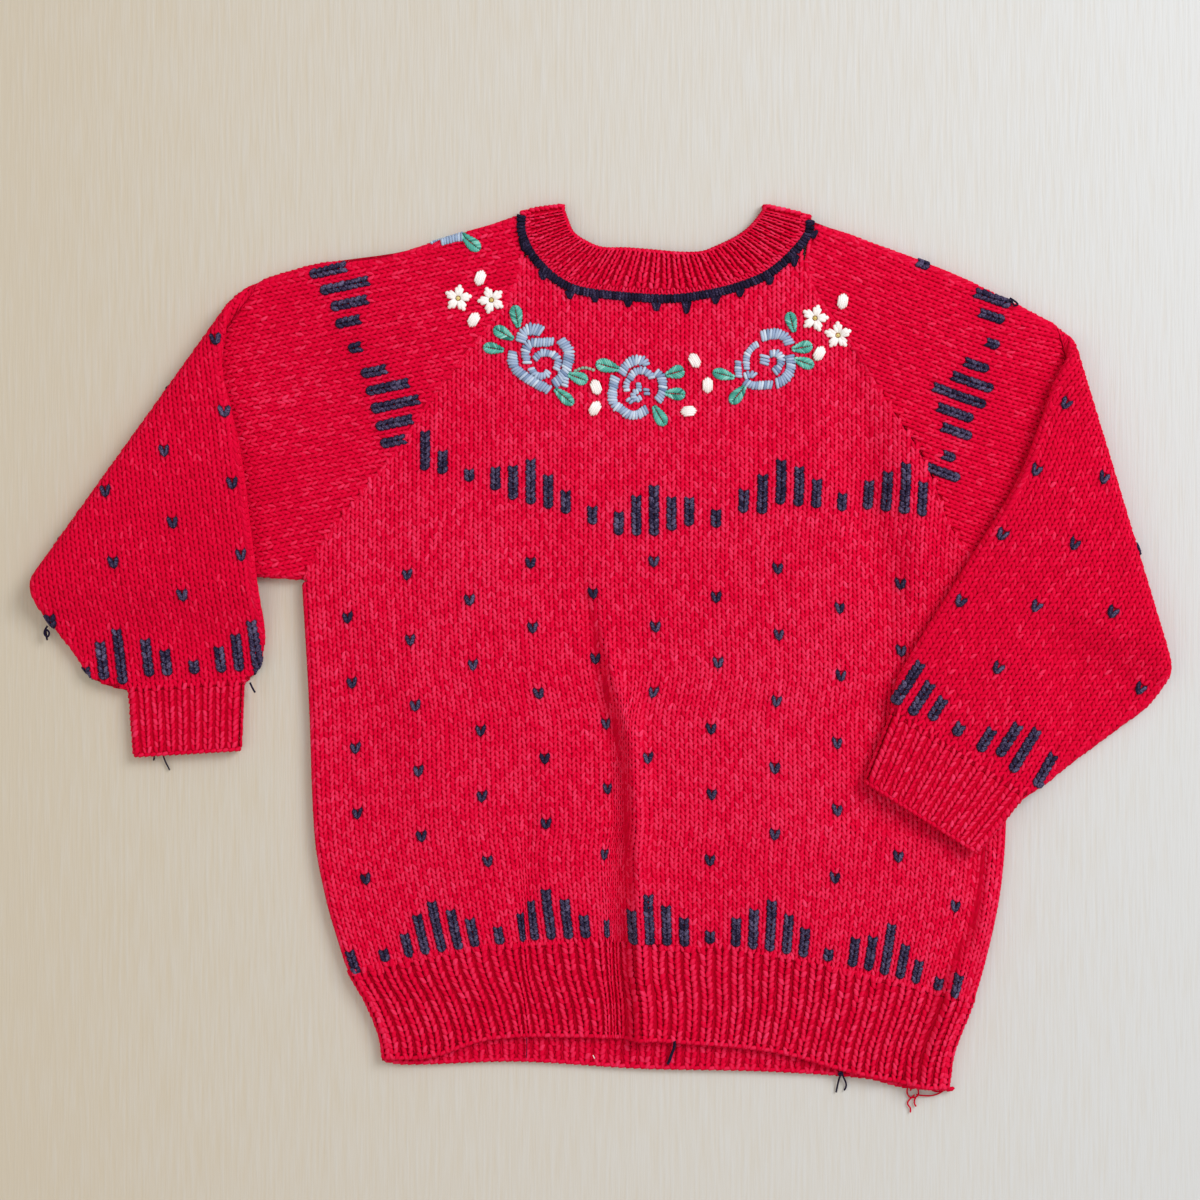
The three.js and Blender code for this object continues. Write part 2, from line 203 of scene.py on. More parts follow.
def fold_height(folds, x, y):
    """Height of all the folds at a place: each fades out beside its path and past its ends."""
    height = np.zeros(np.broadcast(x, y).shape)
    for path, half_width, rise in folds:
        nearest = np.full(height.shape, np.inf)
        for (ax, ay), (bx, by) in zip(path, path[1:]):
            length = math.hypot(bx - ax, by - ay)
            along = ((x - ax) * (bx - ax) + (y - ay) * (by - ay)) / length
            beyond = np.maximum(np.maximum(-along, along - length), 0)
            beside = ((x - ax) * (by - ay) - (y - ay) * (bx - ax)) / length
            nearest = np.minimum(nearest, np.hypot(beyond / FOLD_FADE, beside / half_width))
        height += rise * np.exp(-(nearest**2))
    return height


def round_edges(across, height, low, high):
    """Carries a line laid flat between two edges round the half round turns of a flattened tube.

    Gives the place across, the rise above the middle between the layers, and 1 where the cloth
    faces up, falling to 0 round the turn."""
    low_turn = (low + FOLD_RADIUS - across) / FOLD_RADIUS
    high_turn = (across - high + FOLD_RADIUS) / FOLD_RADIUS
    turned = np.maximum(low_turn, high_turn)
    turn = np.clip(turned, 0, math.pi)
    past = np.maximum(turned - math.pi, 0) * FOLD_RADIUS
    side = np.where(low_turn > high_turn, -1.0, 1.0)
    edge = np.where(side < 0, low + FOLD_RADIUS, high - FOLD_RADIUS)
    reach = FOLD_RADIUS + height
    place = np.where(turn > 0, edge + side * (reach * np.sin(turn) - past), across)
    return place, reach * np.cos(turn), np.clip(np.cos(turn), 0, 1)


def body_lift(x, y):
    """Height of the folds of the front; it lies flat where the right sleeve rests on it."""
    fold = np.maximum(fold_height(BODY_FOLDS, x, y), DEEPEST_FOLD)
    return fold * smooth((sleeve_shadow(y) - x) / 14)


def front_point(x, y, height):
    place, rise, facing = round_edges(x, height, left_side(y), right_side(y))
    z = MID_HEIGHT + rise + body_lift(place, y) * facing
    return np.stack(np.broadcast_arrays(place, y, np.maximum(z, 0)), -1)


LEFT_INSET = 1.6  # the outermost stitches stand this far in from the sides
RIGHT_INSET = 1.1
WIDE_TROUGH = 11  # cloth that the middle crease takes up, and the small one to its left
NARROW_TROUGH = 4
YOKE_SHIFT = 2.4  # the yoke's columns are pulled towards the right armhole


def body_across(u, y):
    """Place across the front of a share u of its stitches."""
    low = left_side(y) + LEFT_INSET
    wide = WIDE_TROUGH * smooth((-7 - y) / 35)
    narrow = NARROW_TROUGH * smooth((-85 - y) / 25)
    x = low + (right_side(y) - RIGHT_INSET - low + wide + narrow) * u
    x = x - wide * smooth((x - 15) / 28 + 0.5)
    x = x + YOKE_SHIFT * smooth((y - 40) / 50) * smooth((x - 40) / 60)
    return x - narrow * smooth((x + 36) / 14 + 0.5)


LEVEL = 0.42  # share of the width where the courses lie highest
LEFT_DROOP = 12.5  # and how far they droop near the sides
RIGHT_DROOP = (16.5, 27.5)  # at the yoke and at the hem


def body_place(wale, course):
    """x and y of a place on the front, in wales from the left side and courses from the hem band."""
    u = (wale + 0.5) / BODY_WALES
    y = BAND_Y + BODY_COURSE * course
    left_droop = LEFT_DROOP * np.maximum(0, (LEVEL - u) / 0.37) ** 2
    right_droop = mix(*RIGHT_DROOP, smooth((60 - y) / 200)) * np.maximum(0, (u - LEVEL) / 0.53) ** 2
    y = y - left_droop - right_droop
    return body_across(u, y), y


def body_stitch(wale, course, height):
    x, y = body_place(wale, course)
    return front_point(x, y, height)


class Sleeve:
    """A sleeve laid out straight, then folded over. Its own directions are along, from the neck to
    the cuff, and across, from the top edge to the underarm edge."""

    def __init__(self, side, slope, origin, armhole, top, under, cuff, fold_line, rest, billows):
        self.side = side
        self.angle = math.radians(slope)
        self.origin = origin
        self.armhole = armhole
        self.top = curve(top)
        self.under = curve(under)
        self.cuff_from, self.cuff_to, self.cuff_top, self.cuff_under = cuff
        (ax, ay), (bx, by) = fold_line
        length = math.hypot(bx - ax, by - ay)
        self.fold_at = (ax, ay)
        self.out = (side * (ay - by) / length, side * (bx - ax) / length)
        self.rest = rest
        self.billows = billows

    def laid_out(self, along, across):
        cos, sin = math.cos(self.angle), math.sin(self.angle)
        x = self.origin[0] + self.side * (along * cos - across * sin)
        return x, self.origin[1] - along * sin - across * cos

    def own_place(self, x, y):
        """Along and across of a laid out point."""
        cos, sin = math.cos(self.angle), math.sin(self.angle)
        dx = self.side * (x - self.origin[0])
        dy = self.origin[1] - y
        return dx * cos + dy * sin, dy * cos - dx * sin

    def past(self, x, y):
        """Distance of a laid out point past the axis that the sleeve is folded round."""
        out_x, out_y = self.out
        return (x - self.fold_at[0]) * out_x + (y - self.fold_at[1]) * out_y + TURN_HEIGHT

    def fold_over(self, x, y, height):
        past = self.past(x, y)
        turn = np.clip(past / TURN_RADIUS, 0, math.pi)
        beyond = np.maximum(past - math.pi * TURN_RADIUS, 0)
        shift = np.where(past > 0, (TURN_HEIGHT - height) * np.sin(turn) - beyond - past, 0)
        fx = x + self.out[0] * shift
        fy = y + self.out[1] * shift
        drop = (TURN_HEIGHT - MID_HEIGHT) * 2 * self.rest(fx, fy) * (turn / math.pi)
        z = np.where(past > 0, TURN_HEIGHT - (TURN_HEIGHT - height) * np.cos(turn) - drop, height)
        return np.stack(np.broadcast_arrays(fx, fy, np.maximum(z, 0)), -1)

    def lift(self, x, y, layer):
        """Height that air under the cloth gives it, away from the fold."""
        (bx, by), size, rise = self.billows[0 if layer > 0 else 1]
        past = self.past(x, y)
        folded = self.fold_over(x, y, MID_HEIGHT)
        near = np.hypot(folded[..., 0] - bx, folded[..., 1] - by) / size
        clear = smooth(-past / 20) if layer > 0 else smooth((past - 20) / 20)
        return rise * np.exp(-(near**2)) * clear

    def point(self, along, across, height, layer):
        """layer 1 is the layer that faces up where the sleeve is laid out, and -1 the one that faces
        up once it is folded over."""
        top = np.where(along < self.cuff_from, self.top(along), self.cuff_edge(along, self.cuff_top))
        low = np.where(along < self.cuff_from, self.under(along), self.cuff_edge(along, self.cuff_under))
        place, rise, facing = round_edges(across, height, top, low)
        x, y = self.laid_out(along, place)
        lift = self.lift(x, y, layer) * facing
        return self.fold_over(x, y, MID_HEIGHT + layer * (rise + lift))

    def cuff_edge(self, along, ends):
        return mix(ends[0], ends[1], (along - self.cuff_from) / (self.cuff_to - self.cuff_from))

    def covers(self, x, y, margin):
        """Whether the folded over part lies over a point of the row, by more than margin."""
        past = self.past(x, y)
        back = math.pi * TURN_RADIUS - 2 * past
        along, across = self.own_place(x + self.out[0] * back, y + self.out[1] * back)
        inside = (across > self.top(along) + margin) & (across < self.under(along) - margin)
        return inside & (past < -margin) & (along < self.cuff_to - margin)


left_sleeve = Sleeve(
    side=-1, slope=15.2, origin=(-40, 215.5), armhole=raglan_left,
    top=[(0, 1.2), (48, 3.2), (75, 3.2), (103, -1.6), (133, -1.4), (160, 1), (188, 5.5),
         (212, 2), (236, -1.5), (283, -4.6), (320, -6.5), (334, -4), (341, 0), (346, 5.5)],
    under=[(154, 146.5), (174, 139.5), (230, 122), (285, 108), (302, 102.5), (325, 87.7),
           (338, 79.5), (342, 73), (346, 60.8)],
    cuff=(346, 378, (6, 9.2), (60.8, 60.2)),
    fold_line=[(-196.5, 156), (-282, 37)],
    rest=lambda x, y: smooth((32 - y) / 30),
    billows=[((-98, 150), 34, 2.4), ((-228, 70), 40, 2.2)],
)
right_sleeve = Sleeve(
    side=1, slope=24, origin=(105, 211.5), armhole=raglan_right,
    top=[(0, 1.2), (24, -1.1), (75, -3.8), (110, -2.8), (140, -1), (170, 0.5), (190, 5),
         (221, 11.2), (264, 12.2), (320, 12.8), (336, 14), (347, 17), (353, 21)],
    under=[(161, 129), (200, 127), (256, 127), (280, 126), (297, 119.8), (325, 109),
           (344, 101.5), (353, 96)],
    cuff=(353, 388, (21, 27.5), (96, 91.5)),
    fold_line=[(235.5, 150.5), (280, 3)],
    rest=lambda x, y: smooth((x - 204) / 34) * smooth((31 - 0.35 * (x - 200) - y) / 30),
    billows=[((150, 160), 30, 2.2), ((222, 66), 36, 2.2)],
)


def left_place(wale, course):
    along = SLEEVE_COURSE * course
    return along, 12.3 + 4.49 * wale - 0.062 * (along - 90)


right_wale_7 = curve([(60, 23), (107, 19.6), (177, 10), (212, 15), (250, 18), (388, 18)])
right_wale_step = curve([(60, 4.25), (107, 4.3), (200, 4.7), (388, 4.75)])


def right_place(wale, course):
    along = SLEEVE_COURSE * course
    return along, right_wale_7(along) + right_wale_step(along) * (wale - 7)


SLEEVE_PLACES = {-1: left_place, 1: right_place}


def sleeve_stitch(sleeve, layer):
    place = SLEEVE_PLACES[sleeve.side]
    return lambda wale, course, height: sleeve.point(*place(wale, course), height, layer)


# Meshes

Finish = namedtuple("Finish", "material slot")


def add_object(name, data):
    made = bpy.data.objects.new(name, data)
    bpy.context.scene.collection.objects.link(made)
    return made


def add_piece(name, mesh):
    """A piece of the pullover, which moves with it."""
    piece = add_object(name, mesh)
    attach(piece, "root")
    return piece


def add_mesh(name, points, polygons, finish, shade=None, uv=None):
    """A smooth piece from points in millimetres and lists of corner numbers."""
    mesh = bpy.data.meshes.new(name)
    points = np.asarray(points, float).reshape(-1, 3)
    corners = np.concatenate([p.ravel() for p in polygons])
    sizes = np.concatenate([np.full(len(p), p.shape[1]) for p in polygons])
    mesh.vertices.add(len(points))
    mesh.vertices.foreach_set("co", (points * MM).ravel())
    mesh.loops.add(len(corners))
    mesh.loops.foreach_set("vertex_index", corners)
    mesh.polygons.add(len(sizes))
    mesh.polygons.foreach_set("loop_start", np.concatenate([[0], np.cumsum(sizes)[:-1]]))
    mesh.polygons.foreach_set("use_smooth", np.ones(len(sizes), bool))
    if shade is not None:
        attribute = mesh.attributes.new("shade", "FLOAT", "POINT")
        attribute.data.foreach_set("value", np.asarray(shade, float).ravel())
    if uv is not None:
        layer = mesh.uv_layers.new(name="stitches")
        layer.data.foreach_set("uv", np.asarray(uv, float).reshape(-1, 2)[corners].ravel())
    mesh.update()
    mesh.validate()
    mesh.materials.append(finish.material)
    return add_piece(name, mesh)


# A strand of yarn: a closed bead drawn out between two ends. Each point is told by how far along it
# is, how far aside in half widths, and how far up in thicknesses.
AROUND = np.radians([-90, -45, 0, 45, 90, 180])
UNDERSIDE = -0.5  # the side that lies in the cloth is flatter
Strand = namedtuple("Strand", "points ends between")


def strand(stops, swells):
    sides = len(AROUND)
    points = [(0, 0, 0)]
    for stop, swell in zip(stops, swells):
        points += [(stop, swell * math.sin(a), swell * max(math.cos(a), UNDERSIDE)) for a in AROUND]
    points.append((1, 0, 0))
    last = len(points) - 1
    ends = []
    between = []
    for i in range(sides):
        j = (i + 1) % sides
        ends.append((0, 1 + j, 1 + i))
        ends.append((last, last - sides + i, last - sides + j))
        for ring in range(len(stops) - 1):
            low = 1 + ring * sides
            between.append((low + i, low + j, low + j + sides, low + i + sides))
    return Strand(np.array(points, float), np.array(ends), np.array(between))


LEG = strand([0.22, 0.78], [1, 1])
LONG_STRAND = strand([0.12, 0.5, 0.88], [0.9, 1, 0.9])


def repeated(faces, count, size):
    return (faces[None] + np.arange(count)[:, None, None] * size).reshape(-1, faces.shape[1])


def strand_piece(name, template, points, finish, shade):
    """One piece from many strands of the same template. points has a row for each strand."""
    count, size = points.shape[:2]
    polygons = [repeated(faces, count, size) for faces in (template.ends, template.between)]
    return add_mesh(name, points, polygons, finish, shade=shade)


# Stitches: each leg leans out from its foot to its shoulder as it rises. Foot, shoulder and half width
# are in wales, start and rise in courses, thickness and height in millimetres.
Leg = namedtuple("Leg", "foot shoulder start rise half_width thick height")
KNIT_LEG = Leg(0.09, 0.40, -0.35, 1.85, 0.235, 0.85, 0.35)
EDGE_LEG = KNIT_LEG._replace(height=0.0)
DARN_LEG = Leg(0.12, 0.42, -0.3, 1.55, 0.29, 1.25, 0.9)
HEART_LEG = Leg(0.05, 0.48, -1.1, 2.3, 0.265, 1.25, 0.85)
RIB_LEG = Leg(0.12, 0.3, -0.3, 1.65, 0.175, 1.15, 0.7)
MOST_LEGS = 8000  # strands in one piece
DYE_SPREAD = 0.13  # of the depth of the dye, from leg to leg
CREST_PAINTED_HIGHLIGHT = 0.62  # painted highlight: how much paler a stitch is painted on its crest, and darker underneath as painted shade
SWAY = 0.02  # spread of where a leg stands, in wales
RAGGED = 0.04  # and in courses
FATNESS = 0.06  # spread of the yarn's thickness
TILT = 0.5  # a leg's foot stands this much prouder than its shoulder
DOWNWARD_START = 0.6  # courses by which stitches knitted downward start further on


def knit(name, wales, courses, at, finish, leg, up=1, dye_and_shade=0.0):
    """Stitches at these wales and courses, of two legs each."""
    sides = np.tile([-1, 1], len(wales))[:, None]
    wale = np.repeat(wales, 2)[:, None]
    course = np.repeat(courses, 2)[:, None]
    count = len(wale)
    along, aside, rise = LEG.points.T
    sway = rng.normal(0, SWAY, (count, 1))
    fat = 1 + rng.normal(0, FATNESS, (count, 1))
    lean = mix(leg.foot, leg.shoulder, along) + sway
    across = sides * lean + aside * leg.half_width * fat
    upward = leg.start + leg.rise * along + rng.normal(0, RAGGED, (count, 1))
    height = leg.height + rise * leg.thick * fat + TILT * (0.4 - along)
    start = DOWNWARD_START if up < 0 else 0
    points = at(wale + across, course + up * upward + start, height)
    # painted highlight and shade: each leg is painted paler on its crest and darker underneath; the offset
    # darkens whole pieces as painted shade, and the random part is the dye's own spread
    shade = rise * CREST_PAINTED_HIGHLIGHT + rng.normal(dye_and_shade, DYE_SPREAD, (count, 1))
    pieces = []
    for first in range(0, count, MOST_LEGS):
        part = slice(first, first + MOST_LEGS)
        label = f"{name}_{first // MOST_LEGS + 1}" if count > MOST_LEGS else name
        pieces.append(strand_piece(label, LEG, points[part], finish, shade[part]))
    return pieces


# Materials

def linear(code):
    """Linear RGBA of an sRGB hex colour."""
    parts = [int(code[i : i + 2], 16) / 255 for i in (1, 3, 5)]
    return [p / 12.92 if p <= 0.04045 else ((p + 0.055) / 1.055) ** 2.4 for p in parts] + [1.0]


def per_metre(size):
    """Scale of a pattern whose features are this many millimetres across."""
    return 1 / (size * MM)


def add_node(tree, kind, values=(), links=(), **settings):
    """A node with its settings. Links come from sockets, or from the first output of a node."""
    made = tree.nodes.new("ShaderNode" + kind)
    for name, value in settings.items():
        setattr(made, name, value)
    for socket, value in values:
        made.inputs[socket].default_value = value
    for socket, source in links:
        tree.links.new(getattr(source, "outputs", [source])[0], made.inputs[socket])
    return made


FIBRE_IOR = 1.5
FIBRE_GLOSS = 0.07  # loose fibre ends break up nearly all of the gloss


def new_material(name, roughness):
    material = bpy.data.materials.new(name)
    material.use_nodes = True
    shader = material.node_tree.nodes["Principled BSDF"]
    shader.inputs["Roughness"].default_value = roughness
    return material, material.node_tree, shader


def yarn(slot, name, deep, middle, pale, sheen, roughness, fleck=0.0):
    """Spun yarn. Fibre ends scatter light, so it is matt with a soft bright edge; each stitch takes
    the dye a little differently, its crest is painted paler as painted highlight and its underside darker as
    painted shade."""
    material, tree, shader = new_material(name, roughness)
    place = add_node(tree, "TexCoord").outputs["Object"]
    dye_and_shade = add_node(tree, "Attribute", attribute_name="shade").outputs["Fac"]
    # Fading and washing wear, in patches about 70 mm across
    faded = add_node(tree, "TexNoise", [("Scale", per_metre(70)), ("Detail", 3.0)], [("Vector", place)])
    # Fibres are 0.02 mm; these are 0.7 mm, as coarse as shows
    fibre = add_node(tree, "TexNoise", [("Scale", per_metre(0.7)), ("Detail", 2.0)], [("Vector", place)])
    wear = add_node(tree, "Math", [(1, 0.14), (2, 0.32)], [(0, faded)], operation="MULTIPLY_ADD")
    centred = add_node(tree, "Math", [(1, 0.5)], [(0, fibre)], operation="SUBTRACT")
    speckle = add_node(
        tree, "Math", [(1, 0.2 + fleck)], [(0, centred), (2, wear)],
        operation="MULTIPLY_ADD",
    )
    tone = add_node(tree, "Math", [(1, 0.45)], [(0, dye_and_shade), (2, speckle)], operation="MULTIPLY_ADD")
    ramp = add_node(tree, "ValToRGB", links=[("Fac", tone)])
    stops = ramp.color_ramp.elements
    stops[0].position = 0.2
    stops[0].color = linear(deep)
    stops[1].position = 0.95
    stops[1].color = linear(pale)
    stops.new(0.58).color = linear(middle)
    bump = add_node(tree, "Bump", [("Strength", 0.35), ("Distance", 0.25 * MM)], [("Height", fibre)])
    tree.links.new(ramp.outputs["Color"], shader.inputs["Base Color"])
    tree.links.new(bump.outputs["Normal"], shader.inputs["Normal"])
    shader.inputs["IOR"].default_value = FIBRE_IOR
    shader.inputs["Specular IOR Level"].default_value = FIBRE_GLOSS
    shader.inputs["Sheen Weight"].default_value = sheen
    shader.inputs["Sheen Roughness"].default_value = 0.45
    shader.inputs["Sheen Tint"].default_value = linear(pale)
    return Finish(material, slot)


def ground(slot, name, deep, middle):
    """The inside of knitted cotton: the feet of the stitches, in their own red, with the same
    stitches as a bump where no separate ones stand on it, and as painted shade: darker in the gaps between
    legs, paler on their crests."""
    material, tree, shader = new_material(name, 0.9)
    counted = add_node(tree, "UVMap", uv_map="stitches").outputs["UV"]
    split = add_node(tree, "SeparateXYZ", links=[("Vector", counted)])
    wale = add_node(tree, "Math", links=[(0, split.outputs["X"])], operation="FRACT")
    aside = add_node(tree, "Math", [(1, 0.5)], [(0, wale)], operation="SUBTRACT")
    out = add_node(tree, "Math", links=[(0, aside)], operation="ABSOLUTE")
    slant = add_node(
        tree, "Math", [(1, -1.6)], [(0, out), (2, split.outputs["Y"])], operation="MULTIPLY_ADD",
    )
    course = add_node(tree, "Math", [(1, 1.0)], [(0, slant)], operation="PINGPONG")
    leg = add_node(tree, "Math", [(1, 0.25)], [(0, out)], operation="SUBTRACT")
    beside = add_node(tree, "Math", links=[(0, leg)], operation="ABSOLUTE")
    crest = add_node(tree, "Math", [(1, -3.0)], [(0, beside), (2, course)], operation="MULTIPLY_ADD")
    # painted shade: deep in the gaps between the drawn legs, middle on their crests
    colour = add_node(
        tree, "Mix", [("A", linear(deep)), ("B", linear(middle))], [("Factor", crest)],
        data_type="RGBA",
    )
    bump = add_node(tree, "Bump", [("Strength", 0.8), ("Distance", 0.8 * MM)], [("Height", crest)])
    tree.links.new(colour.outputs["Result"], shader.inputs["Base Color"])
    tree.links.new(bump.outputs["Normal"], shader.inputs["Normal"])
    shader.inputs["IOR"].default_value = FIBRE_IOR
    shader.inputs["Specular IOR Level"].default_value = FIBRE_GLOSS
    return Finish(material, slot)


RED_KNIT = yarn("red_knit", "dyed_cotton_stocking_stitch", "#C60026", "#E40037", "#FD4876", 0.05, 0.8)
RED_RIB = yarn("red_rib", "dyed_cotton_rib", "#BE0022", "#E20036", "#FD4474", 0.05, 0.82)
RED_GROUND = ground("red_knit", "inside_of_dyed_cotton_knitting", "#CC0028", "#E00036")
NAVY = yarn(
    "navy_yarn", "charcoal_navy_darning_wool", "#0E0A18", "#2C2440", "#786E90", 0.08, 0.9, fleck=0.7,
)
BLUE = yarn("blue_thread", "blue_grey_crewel_wool", "#7088AC", "#A8BAD6", "#D6E2F0", 0.08, 0.85)
GREEN = yarn("green_thread", "leaf_green_crewel_wool", "#307A6E", "#5CB4A4", "#98DCCE", 0.08, 0.85)
STEM_GREEN = yarn("green_thread", "grey_green_crewel_wool", "#6C8C7A", "#9CB4A2", "#B8C8B8", 0.08, 0.85)
IVORY = yarn("ivory_thread", "ivory_crewel_wool", "#EEE0DE", "#FFF8F4", "#FFFFFF", 0.08, 0.85)
YELLOW = yarn("yellow_thread", "pale_yellow_crewel_wool", "#C8A850", "#E8D084", "#F4E4A8", 0.08, 0.85)


# Ground shells: closed walls of cloth on the forms of the part's solids

def wall_piece(name, outer, inner, rows_loop, grid_loops, counted):
    """Closed wall between two matching grids of points, whose rows may close on themselves, as may
    the grid from its last row to its first. counted is each point's place in wales and courses."""
    rows, columns = outer.shape[:2]
    row_steps = rows if grid_loops else rows - 1
    column_steps = columns if rows_loop else columns - 1
    r, c = np.meshgrid(np.arange(row_steps), np.arange(column_steps), indexing="ij")

    def quads(*corners):
        """Faces from four corners, each told by its row, its column, and 1 for the inner grid."""
        numbers = [(r % rows) * columns + c % columns + inside * rows * columns for r, c, inside in corners]
        return np.stack([n.ravel() for n in numbers], 1)

    faces = [
        quads((r, c, 0), (r, c + 1, 0), (r + 1, c + 1, 0), (r + 1, c, 0)),
        quads((r, c, 1), (r + 1, c, 1), (r + 1, c + 1, 1), (r, c + 1, 1)),
    ]
    if not rows_loop:
        r = np.arange(row_steps)
        end = columns - 1
        faces.append(quads((r, 0, 0), (r + 1, 0, 0), (r + 1, 0, 1), (r, 0, 1)))
        faces.append(quads((r, end, 0), (r, end, 1), (r + 1, end, 1), (r + 1, end, 0)))
    if not grid_loops:
        c = np.arange(column_steps)
        end = rows - 1
        faces.append(quads((0, c, 0), (0, c, 1), (0, c + 1, 1), (0, c + 1, 0)))
        faces.append(quads((end, c, 0), (end, c + 1, 0), (end, c + 1, 1), (end, c, 1)))
    points = np.concatenate([outer.reshape(-1, 3), inner.reshape(-1, 3)])
    uv = np.concatenate([counted.reshape(-1, 2)] * 2)
    piece = add_mesh(f"{name}_cloth", points, [np.concatenate(faces)], RED_GROUND, uv=uv)
    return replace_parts(piece, name)


EDGE_TURNS = np.array([0.03, 0.2, 0.4, 0.6, 0.8, 0.95]) * QUARTER
SEAM_STOPS = np.linspace(0.1, 0.985, 26)
NECK_STOPS = np.linspace(0.1, 0.9, 33)


def panel_columns():
    """The columns of a body panel: where each ends at the top, its turn round a side edge, and which."""
    tops = [UNDERARM_LEFT] * len(EDGE_TURNS)
    tops += list(raglan_left.at(SEAM_STOPS[::-1]))
    tops += list(neck_seam.at(NECK_STOPS))
    tops += list(raglan_right.at(SEAM_STOPS))
    tops += [UNDERARM_RIGHT] * len(EDGE_TURNS)
    middle = len(tops) - 2 * len(EDGE_TURNS)
    turns = np.concatenate([EDGE_TURNS, np.full(middle, QUARTER), EDGE_TURNS[::-1]])
    ends = np.repeat([-1, 0, 1], [len(EDGE_TURNS), middle, len(EDGE_TURNS)])
    return np.array(tops, float), turns, ends


def panel(name, low_line, high_line, rows, wall, layer, face):
    """A panel of the body from one line across it up to another, or up to the neck and armholes."""
    tops, turns, ends = panel_columns()
    across = (tops[:, 0] - UNDERARM_LEFT[0]) / (UNDERARM_RIGHT[0] - UNDERARM_LEFT[0])
    top_y = tops[:, 1] - np.where(ends == 0, SEAM_GAP, UNDERARM_EASE)
    up = np.linspace(0, 1, rows + 1)[:, None]
    y = mix(low_line(across), high_line(across) if high_line else top_y, up)
    radius = FOLD_RADIUS + (wall - CLOTH_WALL) / 2

    def surface(offset):
        reach = radius + offset
        inset = FOLD_RADIUS - reach * np.cos(turns)
        x = x_at(y, across) - ends * inset
        lift = body_lift(x, y) * np.sin(turns) if layer > 0 else 0
        z = np.maximum(MID_HEIGHT + layer * reach * np.sin(turns) + lift, 0)
        return np.stack(np.broadcast_arrays(x, y, z), -1)

    outer, inner = surface(face), surface(-wall / 2)
    counted = np.stack([across * BODY_WALES + 0 * y, y / BODY_COURSE], -1)
    pair = (outer, inner) if layer > 0 else (inner, outer)
    return wall_piece(name, *pair, False, False, counted)


RIB_SEAM_Y = -160  # roughly where the rib seam and the hem lie
HEM_Y = -205


def x_at(y, share):
    """Place across the body of a share of its width."""
    return mix(left_side(y), right_side(y), share)


def front_seam_line(across):
    return front_rib_seam(x_at(RIB_SEAM_Y, across))


def back_seam_line(across):
    return front_seam_line(across) - BACK_RIB_DROP


front = panel("front", lambda s: front_seam_line(s) + SEAM_GAP, None, 60, CLOTH_WALL, 1, GROUND_FACE)
back = panel("back", lambda s: back_seam_line(s) + SEAM_GAP, None, 30, CLOTH_WALL, -1, CLOTH_WALL / 2)
front_rib = panel(
    "front_hem_rib", lambda s: front_hem(x_at(HEM_Y, s)), front_seam_line, 12, RIB_WALL, 1, RIB_GROUND_FACE,
)
back_rib = panel(
    "back_hem_rib", lambda s: back_hem(x_at(HEM_Y, s)), back_seam_line, 12, RIB_WALL, -1, RIB_WALL / 2,
)

RING_TURNS = np.array([0, 0.3, 0.6, 0.85, 1]) * QUARTER
RING_STOPS = np.linspace(0.06, 0.94, 19)


def sleeve_ring(sleeve, line, wall, offset):
    """Points round one section of a flattened sleeve, from the top edge over one layer and back."""
    radius = FOLD_RADIUS + (wall - CLOTH_WALL) / 2 + offset
    middle = MID_HEIGHT - (wall - CLOTH_WALL)
    rings = []
    for layer in (1, -1):
        near, far = (0.0, 1.0) if layer > 0 else (1.0, 0.0)
        stops = RING_STOPS if layer > 0 else RING_STOPS[::-1]
        first = len(RING_TURNS)
        t = np.concatenate([np.full(first, near), stops, np.full(first - 1, far)])
        turn = np.concatenate([RING_TURNS, np.full(len(stops), QUARTER), RING_TURNS[:0:-1]])
        edge = np.concatenate([np.ones(first), np.zeros(len(stops)), np.ones(first - 1)])
        inset = edge * (FOLD_RADIUS - radius * np.cos(turn)) * np.where(t == 0, 1, -1)
        x, y, dx, dy = line(t)
        x = x + dx * inset
        y = y + dy * inset
        lift = sleeve.lift(x, y, layer) * np.sin(turn)
        rings.append(sleeve.fold_over(x, y, middle + layer * (radius * np.sin(turn) + lift)))
    return np.concatenate(rings)


def line_across(sleeve, top, under, bend=0.0):
    """A line across a sleeve between two places on its edges, bent towards the armhole by bend."""
    ax, ay = sleeve.laid_out(*top)
    bx, by = sleeve.laid_out(*under)
    length = math.hypot(bx - ax, by - ay)

    def line(t):
        seam = sleeve.armhole.at(t)
        x = mix(mix(ax, bx, t), seam[:, 0] + sleeve.side * SEAM_GAP, bend)
        y = mix(mix(ay, by, t), seam[:, 1] + SEAM_GAP / 2, bend)
        return x, y, (bx - ax) / length, (by - ay) / length

    return line


def along_at(sleeve, edge, past):
    """How far along the sleeve a line at this distance past the fold meets one of its edges."""
    along = np.linspace(0, 380, 3801)
    return float(np.interp(past, sleeve.past(*sleeve.laid_out(along, edge(along))), along))


def tube(name, sleeve, lines, wall, face, wales, courses):
    """A stretch of a sleeve, of this many wales round, with a line across it at each of the courses."""
    outer = np.array([sleeve_ring(sleeve, line, wall, face) for line in lines])
    inner = np.array([sleeve_ring(sleeve, line, wall, -wall / 2) for line in lines])
    round_wales = np.linspace(0, wales, outer.shape[1])
    counted = np.stack(np.broadcast_arrays(round_wales, np.array(courses)[:, None]), -1)
    pair = (outer, inner) if sleeve.side > 0 else (inner, outer)
    return wall_piece(name, *pair, True, False, counted)


